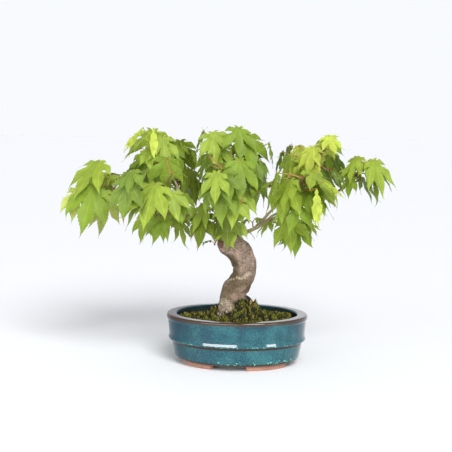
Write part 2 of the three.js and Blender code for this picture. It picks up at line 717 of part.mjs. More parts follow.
group.add(drawn('pot', potSolid(), GLAZE));
for (const [name, signX, signY] of [
  ['foot_front_right', 1, -1], ['foot_front_left', -1, -1],
  ['foot_back_right', 1, 1], ['foot_back_left', -1, 1],
]) {
  group.add(drawn(name, footSolid(signX, signY), CLAY));
}
group.add(drawn('soil', soilSolid(), SOIL));
group.add(drawn('moss', largest(mossSolid(turned(around.trunk))), MOSS));
group.add(drawn('trunk', turned(trunkSolid(curves.trunk, 0)), BARK));

for (const [name, , , , , rootRadius, , sides] of LIMBS) {
  const taken = Manifold.union(Object.values(around));
  const solid = largest(limbSolid(curves[name], sides, 0).subtract(taken));
  around[name] = limbSolid(curves[name], sides, CLEAR);
  group.add(drawn(name, turned(solid), rootRadius > OLD_WOOD_RADIUS ? BARK : TWIG_BARK));
}

const limbs = Manifold.union(Object.values(around));
for (const mass of MASSES) {
  const solid = massSolid(growMass(mass, curves), curves[mass[1]].at(1));
  const look = { color: mass[6], roughness: 0.6, metalness: 0 };
  group.add(drawn(`${mass[0]}_foliage`, turned(largest(solid.subtract(limbs))), look));
}

const box = new THREE.Box3().setFromObject(group);
const middle = box.getCenter(new THREE.Vector3());
for (const body of group.children) body.geometry.translate(-middle.x, -middle.y, 0);

export default group;
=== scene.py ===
"""Potted japanese maple bonsai: the looks of its pot, soil, moss, wood and leaves, over the packed solids."""

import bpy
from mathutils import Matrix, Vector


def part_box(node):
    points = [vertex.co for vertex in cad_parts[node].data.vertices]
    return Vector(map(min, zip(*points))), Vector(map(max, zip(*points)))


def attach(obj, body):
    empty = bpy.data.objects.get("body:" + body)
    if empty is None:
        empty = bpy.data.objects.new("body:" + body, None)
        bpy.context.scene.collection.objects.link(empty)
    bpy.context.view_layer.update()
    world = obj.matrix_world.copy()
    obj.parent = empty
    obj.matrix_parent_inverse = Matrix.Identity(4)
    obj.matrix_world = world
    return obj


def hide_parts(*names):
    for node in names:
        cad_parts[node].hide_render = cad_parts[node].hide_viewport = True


bl_info = {
    "name": "Maple Bonsai",
    "version": (1, 0, 0),
    "blender": (4, 5, 0),
    "location": "View3D > Sidebar > Bonsai",
    "description": "Builds a small japanese maple in an oval glazed pot, with its studio",
    "category": "Add Mesh",
}

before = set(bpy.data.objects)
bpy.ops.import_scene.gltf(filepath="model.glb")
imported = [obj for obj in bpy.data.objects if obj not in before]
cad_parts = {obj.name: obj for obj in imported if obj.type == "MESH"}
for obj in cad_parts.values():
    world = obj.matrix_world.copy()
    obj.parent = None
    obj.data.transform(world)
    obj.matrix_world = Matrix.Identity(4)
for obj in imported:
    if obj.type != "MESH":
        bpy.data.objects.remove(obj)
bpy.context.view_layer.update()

import math

import bpy
import numpy as np
from bpy.props import FloatProperty, FloatVectorProperty, IntProperty, PointerProperty
from mathutils import Matrix, Vector, noise

# Lengths are in millimetres from the pot's centre, and go into metres when a mesh is made
MM = 0.001
POT_LOW, POT_HIGH = (np.array(corner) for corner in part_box("pot"))
POT_CENTRE = np.array([*((POT_LOW + POT_HIGH) / 2)[:2], 0.0])
POT_LENGTH, POT_WIDTH = ((POT_HIGH - POT_LOW) / MM)[:2]
POT_HEIGHT = POT_HIGH[2] / MM
FOOT_HEIGHT = POT_LOW[2] / MM
SOIL_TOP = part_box("soil")[1][2] / MM

# Pot
STEP_HEIGHT = 24.0
RIM_OPENING = 121.0
FLOOR_TOP = 10.0
DRAIN_DIAMETER = 9.0
DRAIN_OFFSET = 30.0
POT_SEGMENTS = 192
FOOT_OUTER_LENGTH = 112.0
FOOT_OUTER_WIDTH = 86.0
FOOT_BAND = 10.0
FOOT_START = 18.5
FOOT_END = 71.0
# A foot's sections along its arc, and its ends, which are drawn in
FOOT_SHARES = (0.0, 0.015, 0.05, *np.linspace(0.1, 0.9, 22), 0.95, 0.985, 1.0)
FOOT_SOFT_END = 0.05
FOOT_PINCH = 0.7
POT_ROUNDING = 1.6

# Moss
MOSS_CREST = 66.0
MOSS_EDGE = 45.3
MOSS_REACH = 57.0
MOSS_SPREAD = 0.37
MOSS_STEEPNESS = 4
MOSS_HEART = 0.1
# Waves of the moss's edge: how many there are round it, where they start, share of the reach
MOSS_WAVES = ((5, 1, 0.035), (9, 0, 0.03))
# Where the moss stops short of the rim: direction and width in degrees, share of the reach that is bare
BARE_PATCHES = ((125, 24, 0.24), (322, 18, 0.16))
# Cushions of moss: place from the pot's centre, height and radius
CUSHIONS = (
    (10, -17, 11, 10), (18, 2, 3, 10), (44, 6, 2.4, 9), (32, -8, -3, 7), (-34, 6, -2, 8), (-46, -8, 1.2, 7))
MOSS_KINDS = ("dark", "olive", "fresh", "straw")
SPRIGS = 10000
# Sprigs: height, more of it on the mound, and half a strand's width
SPRIG_HEIGHT = (0.7, 2.9)
MOUND_GROWTH = (0.0, 3.4)
STRAND_HALF_WIDTH = 0.34
SOIL_SEGMENTS = 96
GRAINS = 900
GRAIN_SIZE = (0.5, 1.5)
PALE_GRAINS = 0.4

# The tree stands turned in its pot by this angle
TREE_TURN = math.radians(8)

# Trunk, as in the solids' source
TRUNK_AXIS = np.array([
    [0.0, -2.0, 44.0], [-1.5, -2.0, 54.0], [-3.2, -1.5, 64.0], [-2.1, 0.0, 73.0], [2.1, 1.5, 79.5],
    [6.3, 2.5, 86.2], [8.2, 3.0, 94.0], [7.0, 2.5, 101.5], [2.8, 1.0, 109.5], [-3.2, 0.0, 117.0],
    [-7.5, -1.0, 123.0], [-9.5, -1.5, 127.5],
])
TRUNK_RADII = [18.5, 16.0, 14.0, 12.4, 11.2, 10.9, 11.2, 11.7, 12.0, 12.2, 12.4, 9.0]
ROOT_SPREAD = 0.34
ROOT_TOP = 72.0
ROOT_FADE = 1.6
LEVEL_HEIGHT = 22.0
TRUNK_SOFT_TOP = 0.94
TRUNK_END = 1.015
# Roots: how many there are round the trunk, direction of one in degrees, share of the spread
ROOTS = ((5, 59, 0.55), (3, 95, 0.45))
# Waves of the trunk's outline: how many there are round it, twist along it, share of the radius
TRUNK_WAVES = ((4, 21, 0.03), (7, -33, 0.025))
# Knots and scars: place along the axis, angle round it in degrees, width in degrees, length, height
KNOTS = [
    (0.86, 175, 34, 0.05, 1.6),
    (0.74, 10, 40, 0.04, 1.4),
    (0.52, 205, 36, 0.05, 1.3),
    (0.36, 20, 30, 0.04, 1.2),
    (0.30, 250, 28, 0.04, 1.0),
    (0.93, 285, 40, 0.05, 1.2),
]
# A short dead stub beside the roots
STUB_PATH = ((17.0, -4.0, 54.0), (18.7, -4.0, 60.0), (19.1, -4.0, 65.0))
STUB_RADII = (1.3, 0.8, 0.55)
VOXEL = 0.55
# Marks on the bark: where the old bough was cut off, the knobbly root, and small scars
WOUND = (-15.5, -9.0, 121.0)
KNOBBLY_ROOT = (-13.5, -17.0, 57.0)
SCARS = ((-7.1, -13.0, 73.2), (11.0, -8.0, 83.6), (-1.6, -12.0, 79.1))
# Hollow side of the lower bend, darkened there with the green film's colour as painted shade: places, and how
# far out it fades
HOLLOW_SHADE = (((-7.0, -7.0, 100.0), 13.0), ((-6.5, -8.0, 91.0), 12.0))
# Pale ridge across the bark: points along it and their widths
CALLUS = (
    (-7.8, -4.6, 82.6, 1.7), (-5.4, -5.4, 84.6, 1.5), (-2.6, -6.8, 85.2, 1.1), (0.4, -7.7, 87.0, 1.2),
    (3.0, -8.5, 86.4, 1.4), (5.4, -9.1, 86.3, 1.3), (8.2, -8.4, 87.8, 1.9), (10.6, -7.8, 89.6, 2.3),
    (13.4, -7.2, 90.6, 1.9), (16.0, -6.0, 89.3, 1.4), (18.2, -3.0, 89.6, 1.9))

# Boughs: parent, place on the parent, tip, arch over the chord, radius at root and tip
LIMBS = {
    "left_bough": ("trunk", 0.93, (-50, -4, 151.5), -2, 5.0, 4.2),
    "left_tip_bough": ("left_bough", 1, (-96, -2, 160), -3, 2.3, 1.5),
    "left_upper_bough": ("left_bough", 1, (-62, 2, 182), 2, 2.1, 1.5),
    "left_back_bough": ("left_bough", 0.55, (-62, 40, 160), 3, 2.6, 1.5),
    "left_front_bough": ("left_bough", 0.75, (-60, -36, 154), 2, 2.3, 1.5),
    "left_low_bough": ("left_bough", 1, (-66, -12, 150), 1, 1.9, 1.4),
    "leader": ("trunk", 0.97, (-4, 2, 186), 0, 5.4, 2.2),
    "back_bough": ("leader", 0.3, (-8, 42, 168), 4, 2.7, 1.5),
    "front_bough": ("leader", 0.25, (-12, -36, 160), 3, 2.4, 1.5),
    "low_front_bough": ("front_bough", 0.35, (-22, -22, 150), 1, 1.6, 1.2),
    "right_bough": ("trunk", 0.95, (48, -2, 152), -2, 2.9, 1.9),
    "right_upper_bough": ("right_bough", 1, (66, 0, 176), 2, 1.7, 1.3),
    "right_tip_bough": ("right_bough", 1, (92, -2, 168), 3, 1.8, 1.3),
    "right_back_bough": ("right_bough", 0.5, (52, 40, 162), 3, 2.1, 1.4),
    "right_front_bough": ("right_bough", 0.6, (48, -36, 156), 3, 2.0, 1.4),
    "right_low_bough": ("right_bough", 0.85, (58, -8, 146), 1, 1.5, 1.2),
}
OLD_WOOD = ("trunk", "left_bough", "leader")
YOUNG_WOOD_SLIMNESS = 0.72
YOUNG_RELIEF = 0.12
BOUGH_STEP = 1.6
COLLAR_FLARE = 0.55
COLLAR_LENGTH = 5.5
JOINT_SPACING = 11
JOINT_SWELL = 0.13

# Foliage masses: bough, heart, half sizes, most leaves, seed, leaf colours in turn; bright is a painted-light
# copy of the green, and olive a painted-shade copy for the masses at the back and low in front
MASSES = {
    "left_tip": ("left_tip_bough", (-133, -2, 161), (50, 54, 52), 9, 383, "bright fresh mid"),
    "left_upper": ("left_upper_bough", (-84, 2, 202), (48, 46, 40), 9, 79, "bright mid bright"),
    "left_low": ("left_low_bough", (-76, -4, 138), (44, 44, 40), 6, 206, "bright bright mid"),
    "left_back": ("left_back_bough", (-72, 60, 176), (58, 50, 50), 9, 201, "mid cool olive"),
    "left_front": ("left_front_bough", (-72, -56, 164), (56, 48, 52), 9, 257, "bright mid cool"),
    "top": ("leader", (-4, 2, 206), (54, 50, 38), 10, 146, "mid bright cool"),
    "front": ("front_bough", (-2, -58, 176), (50, 46, 50), 9, 415, "mid cool bright"),
    "back": ("back_bough", (-2, 62, 180), (52, 50, 50), 8, 111, "cool mid olive"),
    "low_front": ("low_front_bough", (-22, -24, 142), (42, 38, 38), 6, 195, "mid olive bright"),
    "right_front": ("right_front_bough", (62, -55, 170), (52, 46, 50), 8, 290, "bright mid bright"),
    "right_upper": ("right_upper_bough", (80, 2, 198), (50, 46, 38), 9, 437, "yellow bright yellow"),
    "right_back": ("right_back_bough", (68, 60, 176), (54, 50, 50), 8, 330, "mid olive cool"),
    "right_low": ("right_low_bough", (60, -10, 124), (30, 40, 52), 6, 347, "bright mid bright"),
    "right_tip": ("right_tip_bough", (122, -2, 180), (44, 54, 38), 9, 112, "bright mid mid"),
}
# New leaves, still folded: place on the mass's stem, stalk's length, heading and rise, then the blade's
# dip, length and droop
FOLDED_LEAVES = {
    "left_upper": ((1.0, 31, 232, 66, 34, 40, 0.3), (1.0, 38, 280, 48, 80, 34, 0.2)),
    "right_front": ((1.0, 34, 300, 12, 85, 43, 0.3), (1.0, 34, 318, 22, 22, 31, 0.35)),
}
# Share of their usual angle at which the lobes of a folded leaf stand apart
FOLD_SPREAD = 0.15
# Young shoots straight from a bough: the bough, place on it, heading and rise in degrees
SPROUTS = {
    "left_low": (
        ("left_bough", 0.25, 250, -50), ("left_bough", 0.85, 250, -10), ("left_low_bough", 0.6, 215, -30)),
    "low_front": (("leader", 0.15, 300, 0), ("left_bough", 0.5, 280, 15)),
    "right_low": (("right_bough", 0.75, 290, -10), ("right_bough", 0.45, 100, 30)),
}
SPROUT_LENGTH = 7.0
CROWN_PARTS = {
    "far_left": ("left_tip", "left_upper"),
    "left": ("left_low", "left_back", "left_front"),
    "top": ("top", "back"),
    "front": ("front", "low_front"),
    "right": ("right_front", "right_upper", "right_low"),
    "far_right": ("right_back", "right_tip"),
}

# Growth rule, as in the solids' source
CLEAR = 0.3
MASS_GAP = 3.0
LIMB_GAP = 2.0
LEAF_GAP = 3.0
SHOOT_GAP = 1.2
CROWN_LIFT = 0.12
STEM_RADIUS = 1.15
STEM_ARCH = 2.0
SAMPLE_SPACING = 3
MOST_SHOOTS = 16
LEAVES_PER_SHOOT = 3
LEAF_SPACING = 3.0
TRIES = 120
DRAW_FACTOR, DRAW_STEP, DRAW_RANGE = 1664525, 1013904223, 2 ** 32
GOLDEN_ANGLE = 137.5
GOLDEN_SHARE = 0.618034
TURN_SWAY = 0.3
# A shoot's lift in degrees, its start on the stem, its length as a share of the space, and its middle
SHOOT_LIFT = (62, -12)
SHOOT_START = (0.55, 1)
SHOOT_SPAN = (0.2, 0.6)
SHOOT_MIDDLE = 0.7
# A leaf's angles in degrees, its lengths and its droop; later tries are shorter
HEADING_SWAY = 150
LEAF_RISE = (-5, 50)
LEAF_DIP = (35, 75)
LEAF_ROLL = (-25, 25)
LEAF_LENGTH = (42.0, 58.0)
LEAF_DROOP = (0.2, 0.7)
PETIOLE_LENGTH = (14.0, 28.0)
SHRINK = 0.004
# Lobes: angle in degrees and share of the length; then where their edges are tested, and how far out
LOBES = ((-84, 0.56), (-43, 0.86), (0, 1.0), (43, 0.86), (84, 0.56))
LOBE_HALF_WIDTH = 0.15
LOBE_SIDES = ((3, 1.0), (4, 1.0), (5, 0.75), (6, 0.5))
SPINE_STEPS = 8

# Finer twigs on the shoots of each mass: how many, and their seed
SIDE_TWIGS = {
    "left_tip": (1, 131), "left_upper": (1, 134), "left_back": (3, 130), "left_front": (1, 137),
    "top": (1, 141), "front": (3, 131), "back": (3, 111), "low_front": (2, 117),
    "right_front": (3, 121), "right_upper": (3, 118), "right_back": (3, 102), "right_tip": (1, 128),
}
TWIG_TRIES = 6
SIDE_TRIES = 50
SIDE_GAP = 1.0
# Least and most turn, rise, dip and roll of their leaves in degrees, and their lengths
SIDE_ANGLES = ((30, -5, 35, -25), (130, 45, 80, 25))
SIDE_PETIOLE = (9, 22)
SIDE_LENGTH = (32, 50)

# Leaf blades, finer than the solids'
BLADE_LOBES = ((-118, 0.17), (-80, 0.47), (-41, 0.85), (0, 1.0), (41, 0.85), (80, 0.47), (118, 0.17))
LOBE_SWAY = 3.6
LOBE_LOSS = 0.07
SINUS = (0.30, 0.46)
FUSED_ROWS = 7
TEETH = 10
YOUNG_TEETH = 5
TOOTH = (0.0, 0.5, 1.0)
TOOTH_DEPTH = 0.19
BLADE_COLUMNS = (-1.0, -0.66, -0.33, -0.035, 0.035, 0.33, 0.66, 1.0)
VEIN_COLUMN = 3
BLADE_FOLD = 0.2
TIP_CURL = 2.2
STALK_RADII = (0.95, 0.62, 0.52, 0.5, 0.48, 0.48, 0.5, 0.6, 0.35)
RED_SHARE = 0.6

# Colours of a blade in the order of its materials, and which vein colour goes with which
LEAF_COLOURS = ("vein", "pale_vein", "rust", "fresh", "yellow", "bright", "mid", "cool", "olive")
RUST = LEAF_COLOURS.index("rust")
VEIN_OF = {LEAF_COLOURS.index(name): 1 for name in ("fresh", "yellow", "bright")}

# Shoots and twigs: radii from foot to end, the swell at a leaf, and a spur's and a bud's shape
STEM_ENDS = (1.25, 0.85)
SHOOT_ENDS = (1.0, 0.72)
TWIG_ENDS = (0.75, 0.55)
RING_SWELL, RING_LENGTH = 0.28, 0.8
SPUR_RADII = (0.45, 0.38, 0.34)
BUD_STEPS = (0.0, 0.3, 0.65, 1.0)
BUD_WIDTHS = (0.26, 0.34, 0.24)

# Seeds of the runs of draws
MOSS_SEED, SOIL_SEED, WOOD_SEED, CROWN_SEED = 11, 5, 3, 21

UP = np.array([0.0, 0.0, 1.0])
DOWN = -UP

# Studio: the lights stand round a point in the crown; a softbox has its azimuth from the front towards the
# right and its height in degrees, then its width and height
FLOOR_REACH = 4000.0
LIGHT_AIM = (0.0, 0.0, 100.0)
LIGHT_DISTANCE = 1300.0
SUN_PLACE = (420.0, -820.0, 740.0)
SUN_ANGLE = math.radians(28)
SOFTBOXES = {"key": (-20.0, 9.6, (1100.0, 125.0)), "fill": (53.0, 10.4, (365.0, 110.0))}

# Camera, from the photograph: distance to the rim's centre, focal length over the frame's width
CAMERA_AZIMUTH = 12.0
CAMERA_PITCH = 7.0
CAMERA_DISTANCE = 1300.0
FOCAL_RATIO = 1300.0 / 452.0
RIM_IN_FRAME = ((236.7 - 226.0) / 452.0, (226.0 - 312.7) / 452.0)


def srgb(red, green, blue):
    """A linear colour from 0 to 255 screen values."""
    def linear(value):
        value /= 255.0
        return value / 12.92 if value <= 0.04045 else ((value + 0.055) / 1.055) ** 2.4
    return (linear(red), linear(green), linear(blue), 1.0)


def colour_property(name, description, red, green, blue):
    """A colour setting from 0 to 255 screen values."""
    return FloatVectorProperty(
        name=name, description=description, subtype="COLOR", size=4, min=0.0, max=1.0,
        default=srgb(red, green, blue))


# Second colours, mottled over those of the settings
CLAY_BROWN, CLAY_PALE = srgb(140, 96, 74), srgb(206, 172, 150)
SOIL_PALE, CRUMB_BROWN = srgb(96, 78, 58), srgb(98, 80, 60)
YOUNG_BROWN, YOUNG_PALE = srgb(150, 120, 88), srgb(196, 190, 160)
RED_STALK_TAN = srgb(160, 124, 66)
GREEN_STALK, GREEN_STALK_TAN = srgb(142, 144, 66), srgb(160, 104, 60)
SHOOT_OLIVE = srgb(126, 112, 66)
BUD_DARK, BUD_LIGHT = srgb(110, 54, 38), srgb(140, 82, 50)


class BonsaiPotSettings(bpy.types.PropertyGroup):
    """Colours of the pot and its feet."""
    glaze: colour_property("Glaze", "Main colour of the glaze", 24, 84, 92)
    # Deep glaze also paints the shade on the pot's left end
    glaze_deep_and_shade: colour_property("Deep glaze", "Glaze where it is thin", 15, 50, 67)
    glaze_light: colour_property("Light glaze", "Specks and clouds in the glaze", 68, 132, 131)
    glaze_pool: colour_property("Pooled glaze", "Glaze where it ran together", 126, 206, 182)
    # Inner wall: partly the glaze's own dark brown-green, partly painted shade inside the rim
    inner: colour_property("Inner wall", "Glaze inside the rim", 34, 36, 26)
    edge: colour_property("Edge", "Brown where the glaze breaks on an edge", 60, 42, 28)
    clay: colour_property("Clay", "Unglazed clay of the feet", 166, 124, 106)
    gloss: FloatProperty(
        name="Roughness", description="Roughness of the glaze", default=0.12, min=0.02, max=1.0,
        subtype="FACTOR")


class BonsaiGroundSettings(bpy.types.PropertyGroup):
    """Colours and fineness of the soil and moss."""
    soil: colour_property("Soil", "Damp potting soil", 52, 42, 32)
    # Dark moss stands in for the shade between sprigs: painted shade
    moss_dark: colour_property("Dark moss", "Moss in the hollows", 13, 16, 5)
    moss_olive: colour_property("Olive moss", "Most of the moss", 62, 60, 12)
    moss_fresh: colour_property("Fresh moss", "Young moss on the crests", 128, 130, 32)
    moss_straw: colour_property("Straw moss", "Dry tips of the moss", 190, 156, 84)
    sprigs: IntProperty(
        name="Sprigs", description="Number of moss sprigs", default=SPRIGS, min=100, max=30000)


class BonsaiWoodSettings(bpy.types.PropertyGroup):
    """Colours and relief of the bark."""
    bark: colour_property("Bark", "Old bark", 119, 101, 88)
    bark_warm: colour_property("Warm bark", "Reddish patches of the bark", 169, 140, 124)
    bark_pale: colour_property("Pale bark", "Worn ridges and knobs", 206, 190, 168)
    bark_dark: colour_property("Dark bark", "Furrows and scars", 76, 60, 42)
    wound: colour_property("Cut wood", "Where a bough was cut off", 104, 72, 50)
    # Green film low on the bark; the same colour paints the shade on the hollow side of the lower bend
    film_and_shade: colour_property("Green film", "Green film low on the bark", 70, 58, 32)
    young: colour_property("Young bark", "Thin boughs", 138, 136, 96)
    relief: FloatProperty(
        name="Relief", description="Height of the bark's ridges, in millimetres", default=0.4, min=0.0,
        max=2.0)


class BonsaiCrownSettings(bpy.types.PropertyGroup):
    """Colours of leaves, leaf stalks and shoots."""
    fresh: colour_property("Fresh leaf", "Pale young leaves", 169, 180, 90)
    yellow: colour_property("Yellow leaf", "Yellow-green young leaves", 178, 192, 74)
    # Bright: a lighter copy of the leaf green, painted light
    bright: colour_property("Bright leaf", "Leaves in full light", 138, 159, 53)
    mid: colour_property("Mid leaf", "Most leaves", 118, 142, 41)
    cool: colour_property("Cool leaf", "Bluish-green leaves", 109, 132, 49)
    # Olive: a darker copy of the leaf green, painted shade for masses at the back and low in front
    olive: colour_property("Olive leaf", "Older leaves", 102, 119, 30)
    vein: colour_property("Vein", "Main veins of a green blade", 139, 156, 66)
    pale_vein: colour_property("Pale vein", "Main veins of a pale blade", 178, 186, 98)
    rust: colour_property("Rust", "Tips that turned rusty", 150, 96, 52)
    stalk: colour_property("Stalk", "Leaf stalks", 160, 92, 52)
    shoot: colour_property("Shoot", "This year's shoots", 112, 84, 48)
    rust_share: FloatProperty(
        name="Rusty leaves", description="Share of the leaves whose tips turned rusty", default=0.28, min=0.0,
        max=1.0, subtype="FACTOR")
    glow: FloatProperty(
        name="Glow", description="Share of light that passes through a blade", default=0.25, min=0.0, max=1.0,
        subtype="FACTOR")


class BonsaiStageSettings(bpy.types.PropertyGroup):
    """Floor, light and backdrop of the studio."""
    floor: colour_property("Floor", "Pale studio floor", 244, 245, 248)
    backdrop: colour_property("Backdrop", "Pale band round the studio's foot", 248, 250, 254)
    roof: FloatProperty(name="Roof", description="Strength of the light from above", default=0.22, min=0.0)
    sun: FloatProperty(
        name="Soft sun", description="Strength of the wide light from above", default=3.35, min=0.0)
    key: FloatProperty(
        name="Key light", description="Power of the left softbox", default=7.4, min=0.0, unit="POWER")
    fill: FloatProperty(
        name="Fill light", description="Power of the right softbox", default=2.2, min=0.0, unit="POWER")


# Meshes

def metres(points):
    """Millimetres from the pot's centre, in the scene's metres."""
    return np.asarray(points) * MM + POT_CENTRE


def mesh_piece(name, points, faces, materials, face_materials=None, smooth=True):
    """A mesh object from points in millimetres."""
    mesh = bpy.data.meshes.new(name)
    mesh.from_pydata(metres(points).tolist(), [], [list(map(int, face)) for face in faces])
    for material in materials:
        mesh.materials.append(material)
    if face_materials is not None:
        mesh.polygons.foreach_set("material_index", np.asarray(face_materials, dtype=np.int32))
    mesh.polygons.foreach_set("use_smooth", [smooth] * len(mesh.polygons))
    mesh.update()
    piece = bpy.data.objects.new(name, mesh)
    bpy.context.scene.collection.objects.link(piece)
    return piece


def finish_piece(piece, slot, *nodes):
    """Fixes a piece to the part's body and hides the packed nodes that it stands for; its slot is not used.
    """
    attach(piece, "root")
    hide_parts(*nodes)


def apply_modifiers(piece):
    """Turns what the modifiers show into the piece's own mesh."""
    shaped = bpy.data.meshes.new_from_object(piece.evaluated_get(bpy.context.evaluated_depsgraph_get()))
    piece.modifiers.clear()
    old = piece.data
    piece.data = shaped
    bpy.data.meshes.remove(old)


def turned(points, turn=TREE_TURN):
    """Points of the tree, turned in its pot."""
    cos, sin = math.cos(turn), math.sin(turn)
    return np.asarray(points) @ np.array([[cos, sin, 0.0], [-sin, cos, 0.0], [0.0, 0.0, 1.0]])


class Sheaf:
    """Points and faces of many small shapes that end up in one mesh."""

    def __init__(self):
        self.points = []
        self.faces = []
        self.kinds = []
        self.count = 0

    def add(self, points, faces, kind=0):
        """Adds a shape; kind is the number of its material, or a list with one for each face."""
        points = np.asarray(points, dtype=float)
        self.points.append(points)
        self.faces.extend(tuple(index + self.count for index in face) for face in faces)
        self.kinds.extend(kind if isinstance(kind, list) else [kind] * len(faces))
        self.count += len(points)

    def piece(self, name, materials, smooth=True, turn=0.0):
        points = turned(np.concatenate(self.points), turn)
        return mesh_piece(name, points, self.faces, materials, self.kinds, smooth)


def ring_faces(rings, sides):
    """Faces between rings of points, with both ends closed."""
    faces = []
    for r in range(rings - 1):
        for i in range(sides):
            a = r * sides + i
            b = r * sides + (i + 1) % sides
            faces.append((a, b, b + sides, a + sides))
    faces.append(tuple(range(sides))[::-1])
    faces.append(tuple((rings - 1) * sides + i for i in range(sides)))
    return faces


def unit(vector):
    """A vector made one long, or each vector in an array."""
    return vector / np.sqrt((vector * vector).sum(-1, keepdims=True))


def direction(heading, lift=0.0):
    """A unit vector from its heading in plan and its rise over the level."""
    return np.array([math.cos(heading) * math.cos(lift), math.sin(heading) * math.cos(lift), math.sin(lift)])


def circle(count):
    """Evenly spaced angles round a circle."""
    return np.arange(count) / count * 2 * math.pi


def tube(path, radii, sides):
    """Rings of points round a path, and their faces."""
    path = np.asarray(path, dtype=float)
    radii = np.broadcast_to(np.asarray(radii, dtype=float), len(path))
    chord = unit(path[-1] - path[0])
    spare = np.array([0.0, 1.0, 0.0]) if abs(chord[1]) < 0.75 else np.array([1.0, 0.0, 0.0])
    way = unit(np.gradient(path, axis=0))
    depth = unit(spare - way * (way @ spare)[:, None])
    side = np.cross(depth, way)
    angle = circle(sides)[None, :, None]
    around = side[:, None] * np.cos(angle) + depth[:, None] * np.sin(angle)
    points = path[:, None] + around * radii[:, None, None]
    return points.reshape(-1, 3), ring_faces(len(path), sides)


def smoothstep(value, low, high):
    """A smooth way from 0 at the low bound to 1 at the high one."""
    share = np.clip((value - low) / (high - low), 0.0, 1.0)
    return share * share * (3 - 2 * share)


def mix(low, high, share):
    """The value at a share of the way from low to high."""
    return low + (high - low) * share


# Materials

def shaded(colour, share):
    """A colour made darker or lighter by a share of its own value."""
    return tuple(min(1.0, channel * share) for channel in colour[:3]) + (1.0,)


class Shader:
    """A material whose colour is laid on in layers. Its places and heights are in metres."""

    def __init__(self, name, ground):
        self.material = bpy.data.materials.new(name)
        self.material.use_nodes = True
        self.nodes = self.material.node_tree.nodes
        self.links = self.material.node_tree.links
        self.surface = self.nodes["Principled BSDF"]
        self.place = self.nodes.new("ShaderNodeTexCoord").outputs["Object"]
        self.colour = tuple(ground)

    def put(self, socket, value):
        """Links a socket to another one, or sets its own value."""
        if hasattr(value, "is_linked"):
            self.links.new(value, socket)
        else:
            socket.default_value = value

    def node(self, kind, *values, output=0, operation=None, **named):
        """A new node's output; its inputs are given in order, then by name."""
        node = self.nodes.new("ShaderNode" + kind)
        if operation:
            node.operation = operation
        for socket, value in zip(node.inputs, values):
            self.put(socket, value)
        for name, value in named.items():
            self.put(node.inputs[name.replace("_", " ")], value)
        return node.outputs[output]

    def noise(self, scale, detail=4.0, roughness=0.55, stretch=None):
        """Noise with scale in features per metre, stretched by a factor along each axis."""
        place = self.node("Mapping", Vector=self.place, Scale=stretch) if stretch else self.place
        return self.node("TexNoise", Vector=place, Scale=scale, Detail=detail, Roughness=roughness)

    def cells(self, scale):
        """Distance to the middle of round cells."""
        return self.node("TexVoronoi", Vector=self.place, Scale=scale, output="Distance")

    def coordinate(self, axis):
        return self.node("SeparateXYZ", self.place, output=axis)

    def vector(self, operation, *values, output="Vector"):
        return self.node("VectorMath", *values, operation=operation, output=output)

    def math(self, operation, *values):
        return self.node("Math", *values, operation=operation)

    def times(self, first, *others):
        """The product of some values."""
        for other in others:
            first = self.math("MULTIPLY", first, other)
        return first

    def most(self, first, *others):
        """The largest of some values."""
        for other in others:
            first = self.math("MAXIMUM", first, other)
        return first

    def oval_reach(self):
        """Share of the way from the pot's axis to the rim's outer edge."""
        away = self.vector("SUBTRACT", self.place, POT_CENTRE)
        flat = self.vector("MULTIPLY", away, (2 / (POT_LENGTH * MM), 2 / (POT_WIDTH * MM), 0.0))
        return self.vector("LENGTH", flat, output="Value")

    def near(self, point, full, none):
        """One within a distance of a point of the tree, fading to nothing; all in millimetres."""
        away = self.vector("DISTANCE", self.place, metres(turned(point)), output="Value")
        return self.span(away, none * MM, full * MM)

    def span(self, value, low, high, to_low=0.0, to_high=1.0):
        """A value's smooth way from one pair of bounds to another."""
        node = self.nodes.new("ShaderNodeMapRange")
        node.interpolation_type = "SMOOTHSTEP"
        for socket, number in zip(node.inputs, (value, low, high, to_low, to_high)):
            self.put(socket, number)
        return node.outputs["Result"]

    def layer(self, share, colour):
        """Lays a colour over those below, by a share that is a socket or a number."""
        node = self.nodes.new("ShaderNodeMix")
        node.data_type = "RGBA"
        self.put(node.inputs["Factor"], share)
        self.put(node.inputs[6], self.colour)
        self.put(node.inputs[7], tuple(colour))
        self.colour = node.outputs[2]

    def bump(self, height, strength, distance):
        normal = self.node("Bump", Strength=strength, Distance=distance, Height=height)
        self.links.new(normal, self.surface.inputs["Normal"])

    def made(self, **sockets):
        """The material, once its colour and the surface's other sockets are set."""
        for name, value in {"Base_Color": self.colour, **sockets}.items():
            self.put(self.surface.inputs[name.replace("_", " ")], value)
        return self.material


